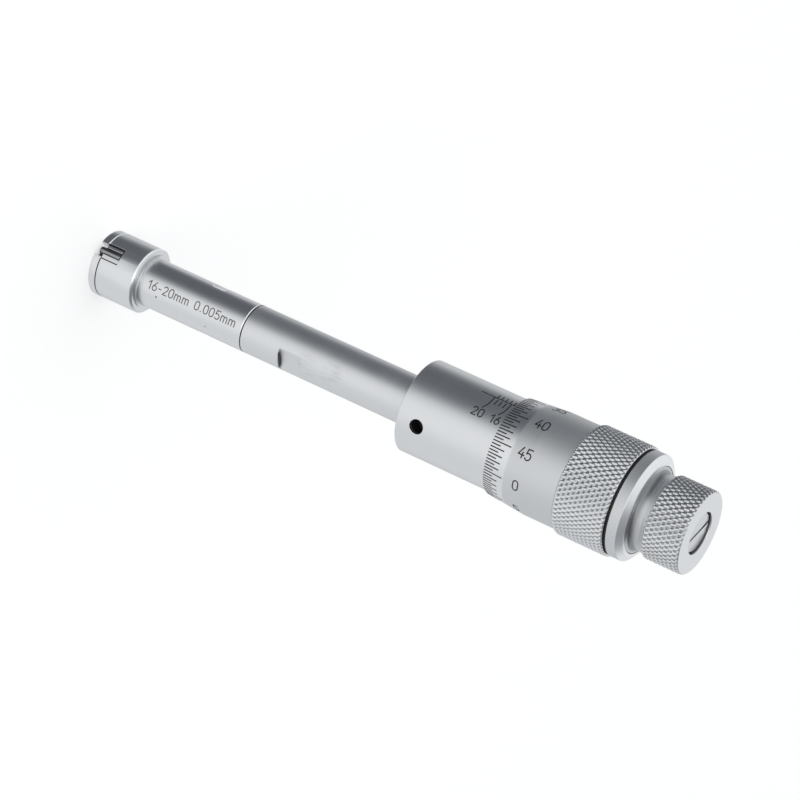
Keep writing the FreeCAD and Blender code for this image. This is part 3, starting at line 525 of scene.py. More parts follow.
# %% [markdown]
# Where two pieces meet a dark line is drawn, grime of oil and dust together with the painted shadow of the
# gap: between the head and its plate, and between the two barrels. Each line is a thin ring in the groove of
# the two broken edges. One third of the plate's joint has no dark line. There, beside the barrels' joint and
# on the head's rear rim, a bright ring is a painted highlight, the glint of a chamfer too small to model, and
# the ring's normals lean as the chamfer would.

# %% Joints
HEAD = 7.5
SLOT_ROLLS, SLOT_HALF = (34.0, 154.0, 274.0), 15.2
EASED, SUNK = 0.02, 3.0


def worn(name, lean):
    """Painted highlight, bright metal leaning to the knob's end by atan(lean) as an edge's tiny chamfer does.
    """
    finish, tree, place = started(name)
    nicks = tree.noise(place, 2500, 2.0)
    facing = tree.vector("ADD", tree.node("ShaderNodeNewGeometry")[1], (0, 0, lean))[0]
    facing = tree.vector("NORMALIZE", facing)[0]
    tree.surface(tree.mix(nicks, rgb(0.93), rgb(1.0)), nicks * 0.2 + 0.2, facing, 1.0)
    return finish


# The bright edge finish is a painted highlight: the glint of a chamfer too small to model.
glint_edge = worn("glint_edge", 0.65)


def ring(name, finish, place, radius, wide, kept=None, dome=0.0):
    """A thin ring about a place, higher by the dome in its middle. It drops away outside the kept rolls."""
    front, back, foot = place - wide / 2, place + wide / 2, radius - 0.4
    corners = [(front, foot), (front, radius - dome), (place, radius), (back, radius - dome), (back, foot)]
    turned(name, corners, finish, "body", "ground_steel", radius=0.02, count=384, carve=kept)


def between(first, last, slots=SLOT_ROLLS, ease=0.0):
    """Keeps the rolls from first to last except the slots. Within the ease of either end the ring sinks
    evenly, so that a domed one runs out to a point."""

    def carve(place, out, roll):
        turn = np.degrees(roll)
        kept = (turn - first) % 360 < (last - first) % 360
        near = np.minimum((turn - first) % 360, (last - turn) % 360)
        out = out - EASED * np.clip(1 - near / max(ease, 0.001), 0, 1)
        for middle in slots:
            kept = kept & (np.abs((turn - middle + 180) % 360 - 180) > SLOT_HALF)
        return np.where(kept, out, out - SUNK)

    return carve


glint_side = between(300, 75, slots=(), ease=40)
glint_rim = between(315, 85, slots=(), ease=40)
# Dark rings are grime with the painted shadow of the gap; bright rings are painted highlights.
ring("barrel_joint", grime_and_shade, JOINT, BARREL + 0.012, wide=0.3)
ring("barrel_joint_edge", glint_edge, JOINT - 0.28, BARREL + 0.02, wide=0.34, kept=glint_side, dome=0.025)
seen_slot, last_slot = SLOT_ROLLS[0], SLOT_ROLLS[2]
grime_and_shadow_rolls, glint_rolls = between(seen_slot, last_slot), between(last_slot, seen_slot)
ring("plate_joint", grime_and_shade, PLATE_END + 0.05, HEAD + 0.012, wide=0.27, kept=grime_and_shadow_rolls)
ring("plate_joint_glint", glint_edge, PLATE_END + 0.02, HEAD + 0.014, wide=0.27, kept=glint_rolls)
ring("head_edge", glint_edge, HEAD_END - 0.48, HEAD + 0.02, wide=0.38, kept=glint_rim, dome=0.025)

# %% [markdown]
# The outer faces of the anvils are ground round together with the head, so they carry its reflections on.
# A carbide pin lies between the two lands of each anvil. Dark blocks in the gaps beside the lands are painted
# shade.
# Lands and gaps are blocks of one kind, listed as (first place, last place, sides, top).


# %% Lands and pins of the anvils
PIN_START, PIN_END, PIN_CENTRE, PIN = 0.6, 6.05, 6.59, 0.85
LAND_TOP = PIN_CENTRE + PIN
LANDS = [(2.25, 6.02, (-1.46, -0.82), LAND_TOP), (1.98, 6.31, (0.84, 1.76), LAND_TOP)]
GAPS = [
    (1.98, 6.3, (-1.92, -1.44), 7.43), (6.01, 6.3, (-1.45, 0.83), 7.3), (1.98, 2.26, (-1.45, -0.6), 7.2),
    (2.11, 6.3, (1.7, 1.92), 7.36), (1.905, 2.1, (0.86, 1.92), 7.47),
]
NOTCH = (0.4, 1.88, (0.1, 1.52), 5.95)


def land(middle, first, last, sides, top):
    """A block between two places and between two distances t to the side of an anvil's middle line. Its top
    is round about the instrument's line: roll = middle + asin(t / top)."""
    t = np.linspace(sides[0] + 0.07, sides[1] - 0.07, 8)
    t = np.concatenate([[sides[0], sides[0] + 0.05], t, [sides[1] - 0.05, sides[1]]])
    turn = radians(middle) + np.arcsin(t / top)
    loop_roll = np.concatenate([turn[:1], turn, turn[-1:]])[None, :]
    loop_out = np.array([top - 0.5, top - 0.05] + [top] * 10 + [top - 0.05, top - 0.5])[None, :]
    place = np.array([first, first + 0.05, first + 0.08, last - 0.08, last - 0.05, last])[:, None]
    drop = np.array([0.05, 0, 0, 0, 0, 0.05])[:, None] * (loop_out > top - 0.2)
    return around(place, loop_out - drop, loop_roll).reshape(-1, 3), capped_faces(6, 14)


def pin(middle, first, last):
    """A round pin along the line: the loop (t, r) = (PIN f cos a, centre + PIN f sin a) for each place.
    Painted shade lies on its flank at negative t, and a painted shadow on the other side of its front end."""
    place = first + np.array([0.0, 0.0, 0.04, 0.12, 0.24, 0.36, 1.0, 3.0])[:, None]
    place = np.concatenate([place, [[last - 0.1], [last], [last]]])
    share = np.array([0.3, 0.62, 0.76, 0.89, 0.97, 1, 1, 1, 1, 0.92, 0.5])[:, None]
    a = rolls(32)[None, :]
    t, r = PIN * share * np.cos(a), PIN_CENTRE + PIN * share * np.sin(a)
    roll = radians(middle) + np.arctan2(t, r)
    painted_shade = np.clip(-3.2 * np.cos(a) + 0.4, 0, 1) + np.clip(3 * np.cos(a) - 0.9, 0, 1) * (place < first + 0.5)
    return around(place, np.hypot(t, r), roll), capped_faces(len(place), 32), painted_shade


for number, middle in enumerate(SLOT_ROLLS, 1):
    body = f"jaw_{number}"
    lands = joined([land(middle, *block) for block in LANDS])
    gaps = joined([land(middle, *block) for block in GAPS])
    # A dark block in the plate's notch, under each pin's front end, is a painted shadow.
    make(f"notch_shadow_{number}", *land(middle, *NOTCH), grime_and_shade, "body", "ground_steel")
    make(f"anvil_lands_{number}", *lands, turned_steel, body, "hardened_steel")
    make(f"anvil_gaps_{number}", *gaps, grime_and_shade, body, "hardened_steel")
    points, faces, painted_shade = pin(middle, PIN_START, PIN_END)
    replaced = [f"contact_pin_{number}"]
    make(f"round_pin_{number}", points, faces, carbide, body, "carbide", replaced, {"painted_shade": painted_shade})

# %% [markdown]
# The knurl is rolled in by two wheels whose teeth lean some thirty degrees to either side. It leaves rows of
# small diamonds, longer along the line than across it. Each family of grooves is a triangle wave of a phase
# that grows with the roll and with the place. Wear has rounded the tips. Where two grooves cross, the
# surface is deepest, and painted shade there is kept as a number at each point.


# %% Knurled grips
LEAN = tan(radians(30.5))
SCREW_GAP = 4.735


def knurled(name, start, end, radius, inside, body, diamonds, depth, chamfers, shade_gain, samples=9):
    """A band with n diamonds around: r = radius - depth (0.8 max(a, b) + 0.2 a b). Here a and b are
    (1 - triangle wave)^1.7 of the phases n roll / (2 pi) +- tan(lean) place / pitch. Chamfers cut its
    ends. The painted shade at a point is a b times a gain, no more than 1, and 1 in the gap round the knob's
    screw, where shade falls. The inside closes the band with more places and radii."""
    pitch = 2 * pi * radius / diamonds
    rows = int((end - start) * samples / pitch)
    place = np.linspace(start, end, rows)[:, None]
    roll = rolls(diamonds * samples)[None, :]
    phase_u = diamonds * roll / (2 * pi) + place * LEAN / pitch
    phase_v = diamonds * roll / (2 * pi) - place * LEAN / pitch

    def groove(phase):
        return np.abs(2 * (phase % 1) - 1) ** 1.7

    a, b = groove(phase_u), groove(phase_v)
    out = radius - depth * (0.8 * np.maximum(a, b) + 0.2 * a * b)
    painted_shade = np.clip(a * b * shade_gain, 0, 1)
    (front_drop, front_length), (back_drop, back_length) = chamfers
    front = radius - front_drop * (1 - (place - start) / front_length)
    back = radius - back_drop * (1 - (end - place) / back_length)
    painted_shade = np.where(out > np.minimum(front, back), 0.0, painted_shade)
    out = np.minimum(out, np.minimum(front, back))
    hidden = np.array(inside)
    core = np.broadcast_to(hidden[:, 1:], (len(hidden), out.shape[1]))
    place = np.concatenate([place, hidden[:, :1]])
    out, painted_shade = np.concatenate([out, core]), np.concatenate([painted_shade, core < SCREW_GAP])
    faces = grid_faces(len(place), out.shape[1])
    make(name, around(place, out, roll), faces, knurled_chrome, body, "satin_chrome", (), {"painted_shade": painted_shade})


# %% [markdown]
# The thimble is one piece: an edge with a graduated bevel, a plain band and the knurled grip. Its round part
# is turned, and leaves room for the grip, which is a grid fine enough for its diamonds.


# %% Thimble
SLEEVE = 10.4
BEVEL_END, GRIP_START = 114.0, 122.0
EDGE, THIMBLE, GRIP = 10.88, 11.68, 12.37
THIMBLE_BORE, GRIP_CORE, RECESS, HUB = 10.65, 11.4, 10.2, 7.5
WEB_START, WEB_END = 124.6, 131.0
turned(
    "thimble_barrel",
    [
        (THIMBLE_START, THIMBLE_BORE), (THIMBLE_START, EDGE), (BEVEL_END, THIMBLE), (GRIP_START, THIMBLE),
        (GRIP_START, GRIP_CORE), (GRIP_END - 0.05, GRIP_CORE), (GRIP_END - 0.05, RECESS), (WEB_END, RECESS),
        (WEB_END, 3.4), (WEB_START + 1.0, 4.05), (WEB_START + 1.0, HUB), (WEB_START, HUB),
        (WEB_START, THIMBLE_BORE),
    ],
    thimble_chrome, "screw_and_thimble", "satin_chrome", ["thimble"], radius=0.1, count=256,
)
knurled(
    "thimble_grip", GRIP_START, GRIP_END, GRIP,
    [(GRIP_END, 11.95), (GRIP_END, 11.85), (GRIP_END, 11.35), (GRIP_START, 11.35), (GRIP_START, 11.6)],
    "screw_and_thimble", diamonds=66, depth=0.43, chamfers=((0.69, 0.4), (0.35, 0.35)), shade_gain=1.6,
)

# %% [markdown]
# Behind the grip come a black ring and a plain cap with a wide bevel. The knob's waisted neck runs in the
# cap's mouth; a cove of smooth points gives its waist. The knob's knurl is a band of its own, as the grip is.


# %% Ring, cap and knob
RING_END, RING = 134.72, 11.62
CAP, CAP_BORE, MOUTH, MOUTH_START = 11.85, 8.3, 9.75, 136.2
turned(
    "black_sealing_ring", [(GRIP_END, RECESS), (GRIP_END, RING), (RING_END, RING), (RING_END, RECESS)],
    black_ring, "screw_and_thimble", "black_ring", ["sealing_ring"], radius=0.15, count=256,
)
turned(
    "flanged_cap",
    [
        (CAP_START, CAP_BORE), (CAP_START, RECESS - 0.04), (RING_END, RECESS - 0.04), (RING_END, CAP),
        (CAP_BEVEL, CAP), (CAP_END, 10.45), (CAP_END, MOUTH), (MOUTH_START, MOUTH), (MOUTH_START, CAP_BORE),
    ],
    bright_chrome, "screw_and_thimble", "satin_chrome", ["thimble_cap"], radius=0.12, count=256,
)
KNOB_START, KNOB, NECK = 141.5, 9.32, 9.65
CAVITY, CAVITY_END, SCREW_SEAT, SEAT_START, SCREW_HOLE = 7.0, 143.6, 4.75, 146.3, 2.05
KEYWAY, KEYWAY_HALF, KEYWAY_ROLL = 7.56, 0.85, radians(93.0)
cove = [(138.16, 9.3), (138.3, 8.95), (138.6, 8.62), (139.1, 8.45), (139.8, 8.46), (140.6, 8.6)]


def keyways(place, out, roll):
    """Two grooves for the slip ring's keys along the cavity's wall, where |out sin(roll - middle)| < half."""
    near = np.abs(out * np.sin(roll - KEYWAY_ROLL)) < KEYWAY_HALF
    cavity = (np.abs(out - CAVITY) < 0.06) & (place > NECK_START + 0.2) & (place < CAVITY_END - 0.2)
    return np.where(near & cavity, KEYWAY, out)


turned(
    "knob_core",
    [
        (NECK_START, CAVITY), (NECK_START, NECK), (138.1, NECK), *cove, (KNOB_START, 8.9),
        (KNOB_START + 0.1, 9.0), (KNOB_END - 0.02, 9.0), (KNOB_END - 0.02, SCREW_SEAT),
        (SEAT_START, SCREW_SEAT), (SEAT_START, SCREW_HOLE), (CAVITY_END, SCREW_HOLE), (CAVITY_END, CAVITY),
    ],
    neck_chrome, "ratchet", "satin_chrome", ["ratchet_knob"], radius=0.1, carve=keyways,
)
knurled(
    "knob_grip", KNOB_START, KNOB_END, KNOB,
    [
        (KNOB_END, 8.9), (KNOB_END, 8.8), (KNOB_END, 4.9), (KNOB_END - 0.01, 4.8),
        (KNOB_END - 0.05, SCREW_SEAT), (KNOB_END - 0.2, 4.74), (KNOB_END - 0.24, 4.73), (KNOB_START, 4.73),
        (KNOB_START, 4.8), (KNOB_START, 8.8),
    ],
    "ratchet", diamonds=50, depth=0.4, chamfers=((0.42, 0.2), (0.35, 0.35)), shade_gain=2.8,
)

# %% [markdown]
# The sleeve is a thin tube with one round hole for the pin of a hook spanner. On a grid the hole takes the
# place of a square of cells: rings of points lead from the square's edge to the round rim, down through the
# wall, and out again to the same square on the inside.


# %% Sleeve with the spanner hole
SLEEVE_BORE, SLEEVE_MOUTH = 9.4, 9.5
HOLE_PLACE, HOLE_ROLL, HOLE = 87.55, radians(75.6), 1.62


def square_edge(first_row, first_column, size, columns, offset):
    """Corner numbers round a square of cells, counted on from offset: near side, right, far side, left."""
    run = np.arange(size)
    full = np.full(size, size)
    row = np.concatenate([0 * run, run, full, size - run]) + first_row
    column = np.concatenate([run, full, size - run, 0 * run]) + first_column
    return row * columns + column + offset


def sleeve(count=256, half=9):
    """Outer and inner walls on grids with a count of cells round, joined at both ends and through the hole,
    which takes the place of 2 half by 2 half cells."""
    cell = 2 * pi * SLEEVE / count
    near = HOLE_PLACE + cell * np.arange(-half, half + 1)
    start, end = SLEEVE_START, SLEEVE_END
    front = [(start, SLEEVE_MOUTH), (start, 10.1), (start + 0.01, 10.18), (start + 0.06, 10.27)]
    front += [(start + 0.16, 10.37), (start + 0.24, SLEEVE), (start + 0.35, SLEEVE)]
    back = [(95.0, SLEEVE), (end - 0.2, SLEEVE), (end - 0.07, 10.39), (end, 10.33), (end, SLEEVE_MOUTH)]
    outer = np.array(front + [(place, SLEEVE) for place in near] + back)
    inner = np.array([(place, SLEEVE_BORE) for place in (start + 0.02, *near, end - 0.02)])
    roll = HOLE_ROLL + (np.arange(count) - count // 2) * 2 * pi / count
    walls = np.concatenate([outer, inner])
    points = around(walls[:, :1], walls[:, 1:], roll[None, :]).reshape(-1, 3)

    def wall(rows, offset, first_row, flip):
        """The quads of one wall without the square round the hole."""
        kept = np.ones((rows - 1, count), bool)
        kept[first_row:first_row + 2 * half, count // 2 - half:count // 2 + half] = False
        quads = grid_faces(rows, count, wrap=False)[kept.ravel()] + offset
        return quads[:, ::-1] if flip else quads

    def bridge(first, second):
        """The quads between two closed loops."""
        return np.stack([first, second, np.roll(second, -1), np.roll(first, -1)], -1)

    inside, one = len(outer) * count, np.arange(count)
    last_outer, last_inner = inside - count, inside + (len(inner) - 1) * count
    faces = [wall(len(outer), 0, len(front), False), wall(len(inner), inside, 1, True)]
    faces += [bridge(one + inside, one), bridge(one + last_outer, one + last_inner)]

    edge_outer = square_edge(len(front), count // 2 - half, 2 * half, count, 0)
    edge_inner = square_edge(1, count // 2 - half, 2 * half, count, inside)
    size = len(edge_outer)
    run = np.arange(2 * half) * cell - half * cell
    side = np.full(2 * half, half * cell)
    along = np.concatenate([-side, run, side, -run])
    across = np.concatenate([run, side, -run, -side])
    turn = np.arctan2(across, along)

    def loop(radius, reach, share):
        """Points at a share of the way from the square's edge to a circle that reaches that far."""
        u = (1 - share) * along + share * reach * np.cos(turn)
        v = (1 - share) * across + share * reach * np.sin(turn)
        return around(HOLE_PLACE + u, radius, HOLE_ROLL + np.arcsin(v / radius))

    wide = HOLE + 0.3
    steps = [
        (SLEEVE, wide, 0.4), (SLEEVE, wide, 0.75), (SLEEVE, wide, 1), (SLEEVE, HOLE + 0.09, 1),
        (SLEEVE - 0.015, HOLE + 0.04, 1), (SLEEVE - 0.05, HOLE + 0.01, 1), (SLEEVE - 0.1, HOLE, 1),
        (SLEEVE_BORE + 0.08, HOLE, 1), (SLEEVE_BORE, HOLE, 1), (SLEEVE_BORE, wide, 1),
        (SLEEVE_BORE, wide, 0.5),
    ]
    loops = np.concatenate([loop(*step) for step in steps])
    numbers = [len(points) + k * size + np.arange(size) for k in range(len(steps))]
    numbers = [edge_outer] + numbers + [edge_inner]
    faces += [bridge(first, second) for first, second in zip(numbers, numbers[1:])]
    return np.concatenate([points, loops]), np.concatenate(faces)


points, faces = sleeve()
make("scale_sleeve_tube", points, faces, sleeve_chrome, "body", "satin_chrome", ["scale_sleeve"])

# %% [markdown]
# Lines and numbers are engraved and filled with paint. Each stroke of the pen is a path on the surface; the
# ribbon that follows it is a hair above the metal, so it looks like paint in a shallow groove.


# %% Painted strokes
PAINT_TOP, PAINT_FOOT = 0.012, -0.03


def even(radius):
    """For a surface that is the same everywhere: its radius at any places."""
    return lambda place: np.full_like(place, radius)


def ribbon(path, width, radius_at):
    """A closed strip along (place, roll): the path's two edges lie half a width to each side, widened at
    a bend by 1 / cos of half the bend, and its top and bottom are just above and below the surface.
    A long run gets points between its ends, so that it follows the round surface."""
    arc_length = path * [1, radius_at(path[:1, 0])[0]]
    gone = np.concatenate([[0], np.cumsum(np.linalg.norm(np.diff(arc_length, axis=0), axis=1))])
    spots = np.union1d(gone, np.linspace(0, gone[-1], int(gone[-1] / 0.3) + 2))
    spots = spots[np.concatenate([[True], np.diff(spots) > 1e-5])]
    path = np.stack([np.interp(spots, gone, path[:, k]) for k in (0, 1)], 1)
    radius = radius_at(path[:, 0])
    flat = np.stack([path[:, 0], radius * path[:, 1]], 1)
    step = np.diff(flat, axis=0)
    step = step / np.linalg.norm(step, axis=1, keepdims=True)
    before, after = np.concatenate([step[:1], step]), np.concatenate([step, step[-1:]])
    ahead = before + after
    ahead = ahead / np.maximum(np.linalg.norm(ahead, axis=1, keepdims=True), 1e-6)
    reach = width / 2 / np.maximum((ahead * before).sum(1, keepdims=True), 0.6)
    side = np.stack([-ahead[:, 1], ahead[:, 0]], 1) * reach
    flat[0] -= step[0] * width * 0.4
    flat[-1] += step[-1] * width * 0.4
    corners = []
    for edge, height in ((side, PAINT_TOP), (-side, PAINT_TOP), (-side, PAINT_FOOT), (side, PAINT_FOOT)):
        spot = flat + edge
        corners.append(around(spot[:, 0], radius_at(spot[:, 0]) + height, spot[:, 1] / radius))
    return np.stack(corners, 1).reshape(-1, 3), capped_faces(len(path), 4)


def stroke(places, degrees):
    """A path through some places, or along one place, at rolls in degrees."""
    return np.stack(np.broadcast_arrays(np.array(places, float), np.radians(degrees)), 1)


def painted(name, paths, radius_at, paint, body, slot, width):
    """All the strokes of one legend as one piece, flat shaded because its edges are sharp."""
    points, faces = joined([ribbon(np.array(path, float), width, radius_at) for path in paths])
    make(name, points, faces, paint, body, slot).data.shade_flat()


# %% [markdown]
# The numbers are in a plain draughtsman's hand: upright strokes of one width, round bowls, open fours. Each
# sign is a few strokes in a box one high, made of straight runs and of arcs.


# %% Signs
def arc(x, y, across, up, start, end, count=14):
    """Points (x + across cos(t), y + up sin(t)) for t from start to end in degrees."""
    t = np.radians(np.linspace(start, end, count))
    return np.stack([x + across * np.cos(t), y + up * np.sin(t)], 1).tolist()


SIGNS = {
    "0": (0.58, [arc(0.29, 0.7, 0.27, 0.3, 0, 180) + arc(0.29, 0.3, 0.27, 0.3, 180, 360) + [[0.56, 0.7]]]),
    "1": (0.42, [[[0.06, 0.72], [0.34, 1.0], [0.34, 0.0]]]),
    "2": (0.58, [arc(0.28, 0.73, 0.26, 0.27, 165, -38) + [[0.02, 0.0], [0.57, 0.0]]]),
    "3": (0.58, [arc(0.27, 0.75, 0.24, 0.25, 150, -90) + arc(0.27, 0.26, 0.28, 0.26, 90, -150)]),
    "4": (0.62, [[[0.36, 1.0], [0.02, 0.3], [0.6, 0.3]], [[0.42, 0.55], [0.42, 0.0]]]),
    "5": (0.58, [[[0.54, 1.0], [0.1, 1.0], [0.06, 0.56]] + arc(0.27, 0.32, 0.29, 0.32, 125, -145)]),
    "6": (0.58, [[[0.44, 1.0], [0.16, 0.62]] + arc(0.29, 0.29, 0.27, 0.29, 150, 510)]),
    "m": (0.86, [[[0.04, 0.0], [0.04, 0.68]], arc(0.23, 0.46, 0.19, 0.22, 180, 0) + [[0.42, 0.0]],
                 arc(0.61, 0.46, 0.19, 0.22, 180, 0) + [[0.8, 0.0]]]),
    "-": (0.46, [[[0.06, 0.42], [0.4, 0.42]]]),
    ".": (0.2, [[[0.1, 0.02], [0.1, 0.07]]]),
    " ": (0.42, []),
}


def written(words, start, base_roll, height, radius, gap=0.22):
    """Strokes of the words along the line from a place, with their feet at a roll and tops at lower rolls,
    and the length of the words."""
    paths, pen = [], 0.0
    for sign in words:
        width, strokes = SIGNS[sign]
        for line in strokes:
            x, y = np.array(line, float).T
            paths.append(np.stack([start + (pen + x) * height, base_roll - y * height / radius], 1))
        pen += width + gap
    return paths, (pen - gap) * height


# %% [markdown]
# The barrel says which bores the instrument is for and what one thimble mark is worth. The strokes are
# fine and only etched, so they are grey rather than black. Along the edge of the small flat beside them, a
# bright line of the same kind is a painted highlight.

# %% Range on the barrel
TEXT_START, TEXT_END, TEXT_HEIGHT, TEXT_ROLL = 14.2, 37.5, 1.88, radians(66.0)
words, length = written("16-20mm 0.005mm", 0.0, 0.0, TEXT_HEIGHT, BARREL)
spread = (TEXT_END - TEXT_START) / length
words = [np.stack([TEXT_START + path[:, 0] * spread, path[:, 1] + TEXT_ROLL], 1) for path in words]
painted("range_legend", words, even(BARREL), etched_grey, "body", "ground_steel", width=0.23)
start, end = SMALL_FLAT_START, SMALL_FLAT_END
edge = stroke([start + 0.15, start + 0.5, end - 0.5, end], [345, 350, 350, 344])
painted("flat_edge", [edge], even(BARREL), glint_edge, "body", "ground_steel", width=0.26)

# %% [markdown]
# The sleeve's scale has a base line along the instrument. Ticks of whole millimetres of bore hang below it
# and half millimetres stand above it. The ends of the range have bent leaders to their numbers.

# %% Scale on the sleeve
SCALE_START, FIRST_TICK, TICK_STEP, TICKS = 96.6, 99.8, 1.0, 5
WHOLE, HALF = (3.2, 10.9), (-1.6, -6.6)
NUMBER_FOOT, SCALE_NUMBER = 34.0, 1.85
scale = [[(SCALE_START, 0.0), (THIMBLE_START + 0.6, 0.0)]]
for number in range(TICKS):
    place = FIRST_TICK + number * TICK_STEP
    scale += [stroke(place, WHOLE), stroke(place + TICK_STEP / 2, HALF)]
for place, number, back in ((FIRST_TICK, "20", 2.25), (FIRST_TICK + 4 * TICK_STEP, "16", 1.95)):
    scale.append(stroke([place, place, place - 0.2, place - 0.75], [0.0, 11.5, 16.5, 21.8]))
    scale += written(number, place - back, radians(NUMBER_FOOT), SCALE_NUMBER, SLEEVE)[0]
painted("sleeve_scale", scale, even(SLEEVE), scale_paint, "body", "satin_chrome", width=0.25)

# %% [markdown]
# The thimble has a hundred lines on its bevel, each worth five micrometres of bore. Every second one is a
# little longer and every tenth is longest and numbered, from 0 to 45 in fives, so a turn has fifty units. At
# rest the thimble reads 38: that unit lies on the sleeve's base line, and the others follow round.

# %% Lines and numbers of the thimble
def thimble_radius(place):
    """The bevel rises evenly to the thimble's full width."""
    return np.interp(place, [THIMBLE_START, BEVEL_END], [EDGE, THIMBLE])


READING, TURN_IN_UNITS, MARKS = 38, 50, 100
LONG, MIDDLE, SHORT = 109.35, 108.25, 107.0
NUMBER_PLACE, NUMBER_HEIGHT, NUMBER_GAP = 112.9, 2.3, 0.12
unit = radians(360 / TURN_IN_UNITS)
lines, numbers = [], []
for step in range(MARKS):
    line_roll = (step * TURN_IN_UNITS / MARKS - READING) * unit
    tip = LONG if step % 10 == 0 else MIDDLE if step % 2 == 0 else SHORT
    lines.append([(THIMBLE_START + 0.12, line_roll), (tip, line_roll)])
for label in range(0, TURN_IN_UNITS, 5):
    width = written(str(label), 0, 0, NUMBER_HEIGHT, THIMBLE, NUMBER_GAP)[1]
    base = (label - READING) * unit + NUMBER_HEIGHT / 2 / THIMBLE
    start = NUMBER_PLACE - width / 2
    numbers += written(str(label), start, base, NUMBER_HEIGHT, THIMBLE, NUMBER_GAP)[0]
black = (thimble_radius, scale_paint, "screw_and_thimble", "satin_chrome")
painted("thimble_lines", lines, *black, width=0.27)
painted("thimble_numbers", numbers, *black, width=0.29)

# %% [markdown]
# The return spring is hidden in the barrel. It is a coil with a mesh of its own.

# %% Return spring
SPRING_START, SPRING_END = span("return_spring")


def coil(start, end, radius, wire, turns):
    """A tube as thick as the wire about a helix that climbs evenly with its roll t, thin at its two ends."""
    t = np.linspace(0, turns * 2 * pi, turns * 36)[:, None]
    a = rolls(10)[None, :]
    grown = np.clip(np.minimum(t, t[-1] - t) / 0.05, 0.02, 1)
    out = radius + wire / 2 * grown * np.cos(a)
    place = start + wire / 2 + (end - start - wire) * t / t[-1] + wire / 2 * grown * np.sin(a)
    return around(place, out, t + 0 * a), capped_faces(len(t), 10)


points, faces = coil(SPRING_START, SPRING_END, radius=2.75, wire=0.6, turns=6)
spring = make("return_coil", points, faces, spring_steel, "body", "spring_steel", ["return_spring"])
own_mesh(spring)

# %% [markdown]
# What is hidden keeps its solid from the frame and gets a finish of the right kind. The inner body shows only
# at the bottom of the spanner hole, and is nearly black there as painted shade.

# %% Finishes of the hidden pieces
inside = {
    ground_steel: "cone stem_cap push_rod bearing_ball spindle ratchet_drive_ring ratchet_slip_ring",
    turned_steel: "adjusting_nut thimble_nut", bronze: "guide_bush push_rod_guides",
    dark_hole_steel: "inner_body", spring_steel: "ratchet_spring",
}
for finish, nodes in inside.items():
    for node in nodes.split():
        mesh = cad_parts[node].data
        mesh.materials.clear()
        mesh.materials.append(finish)
    print(nodes, "in", finish.name)

# %% [markdown]
# The floor is white and keeps the shadow. What the camera sees of it is lifted to the white of the picture.

# %% Floor
FLOOR_HALF, FLOOR_GREY, LIFT = 4.0, 0.62, 0.537
floor_mesh = bpy.data.meshes.new("floor")
corners = [(FLOOR_HALF * x, FLOOR_HALF * y, 0) for x, y in ((-1, -1), (1, -1), (1, 1), (-1, 1))]
floor_mesh.from_pydata(corners, [], [(0, 1, 2, 3)])
floor = placed("floor", floor_mesh)
floor_white = bpy.data.materials.new("floor_white")
tree = Tree(floor_white)
ray = tree.node("ShaderNodeLightPath")
seen = ray[0] + ray[3] + ray[6]
matt = tree.node("ShaderNodeBsdfDiffuse", {}, {"Color": rgb(FLOOR_GREY)})[0]
lift = tree.node("ShaderNodeEmission", {}, {"Color": rgb(1.0), "Strength": seen * LIFT})[0]
both = tree.node("ShaderNodeAddShader", {}, [matt, lift])[0]
tree.node("ShaderNodeOutputMaterial", {}, {"Surface": both})
floor_mesh.materials.append(floor_white)
floor.visible_glossy = False
print("floor", 2 * FLOOR_HALF, "m wide")

# %% [markdown]
# Bright metal is only as good as what it reflects. The studio is a white room with one dark panel to the
# side, which draws the dark band along every round piece. A second dark patch high up on the other side
# shades the lower half of every edge that faces the knob's end.

# %% Studio light
ROOM, BRIGHT_SIDE, BACK = (0.9, 0.91, 0.92, 1), (1.07, 1.075, 1.08, 1), (0.72, 0.73, 0.74, 1)
DARK_PANEL, HIGH_PATCH = (0.128, 0.138, 0.155, 1), (0.24, 0.25, 0.265, 1)
world = bpy.data.worlds.new("studio")
bpy.context.scene.world = world
tree = Tree(world)
way = tree.node("ShaderNodeTexCoord")[0]
level = tree.vector("NORMALIZE", tree.vector("MULTIPLY", way, (1, 1, 0))[0])[0]
height = tree.height(way)


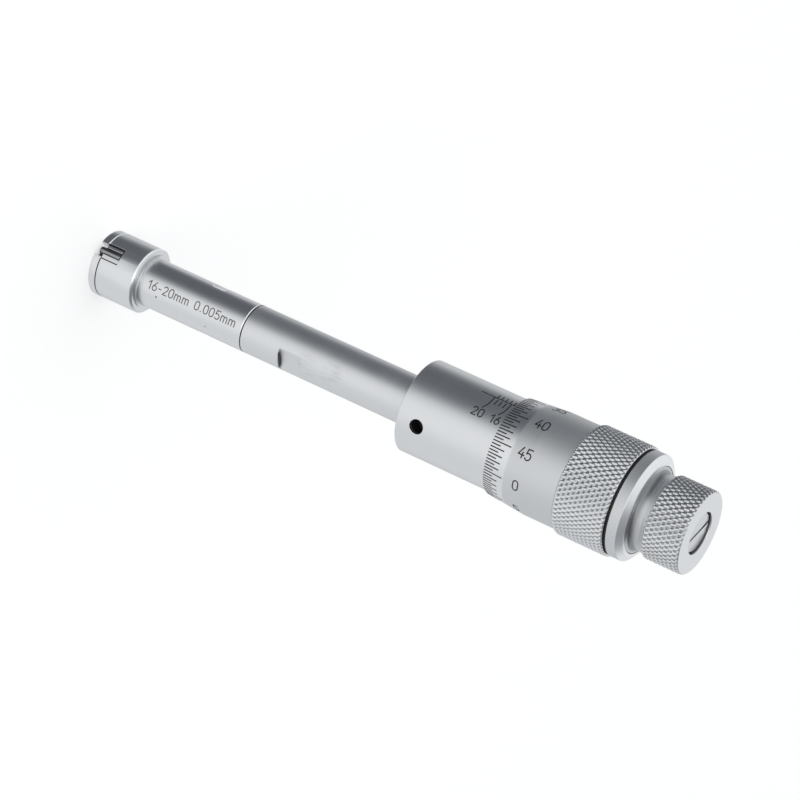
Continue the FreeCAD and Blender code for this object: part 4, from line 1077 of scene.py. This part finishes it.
def toward(degrees, lift, half, edge, line=way):
    """1 within half of the direction with that roll r and lift l, 0 beyond half + edge. The cosine of the
    angle to it is the dot product with (cos l sin r, -cos l cos r, sin l)."""
    lift, roll = radians(lift), radians(degrees)
    aim = (cos(lift) * sin(roll), -cos(lift) * cos(roll), sin(lift))
    facing = tree.vector("DOT_PRODUCT", line, aim)[1]
    return facing.above(cos(radians(half + edge)), cos(radians(half)))


dark = toward(-25, 0, half=30, edge=32, line=level) * height.above(0.3, 0.0)
behind = toward(230, 0, half=5, edge=50, line=level) * height.above(0.1, -0.2)
shade = tree.mix(toward(70, 0, half=10, edge=35, line=level), ROOM, BRIGHT_SIDE)
shade = tree.mix(dark, tree.mix(behind, shade, BACK), DARK_PANEL)
shade = tree.mix(toward(140, 45, half=26, edge=26), shade, HIGH_PATCH)
background = tree.node("ShaderNodeBackground", {}, {"Color": shade, "Strength": 1.0})[0]
tree.node("ShaderNodeOutputWorld", {}, {"Surface": background})

lamp = bpy.data.lights.new("soft_box", "AREA")
lamp.shape, lamp.size, lamp.energy = "DISK", 0.5, 0.8
soft_box = placed("soft_box", lamp)
soft_box.location = (0.7, -0.35, 0.9)
down = Vector((0, 0, 0.08)) - soft_box.location
soft_box.rotation_euler = down.to_track_quat("-Z", "Y").to_euler()
print("soft box", round(down.length, 2), "m away")

# %% [markdown]
# The photograph shows the instrument on its side, seen from the knob's end. Here it stands on its head,
# because on its side it would roll, so the camera is rolled to show it at the same angle.

# %% Camera
CAMERA_PLACE = (0.47481862, -0.39842013, 0.347062)
AHEAD = Vector((-0.70178673, 0.59040934, -0.39863794))
UP = Vector((-0.45763482, -0.80248028, -0.38287827))
camera = placed("camera", bpy.data.cameras.new("camera"))
camera.data.lens, camera.data.sensor_width = 144.0, 36.0
turn = Matrix((AHEAD.cross(UP), UP, -AHEAD)).transposed().to_4x4()
camera.matrix_world = Matrix.Translation(CAMERA_PLACE) @ turn
bpy.context.scene.camera = camera
bpy.context.scene.view_settings.view_transform = "Standard"
print("camera", round(Vector(CAMERA_PLACE).length, 2), "m from the measuring face")
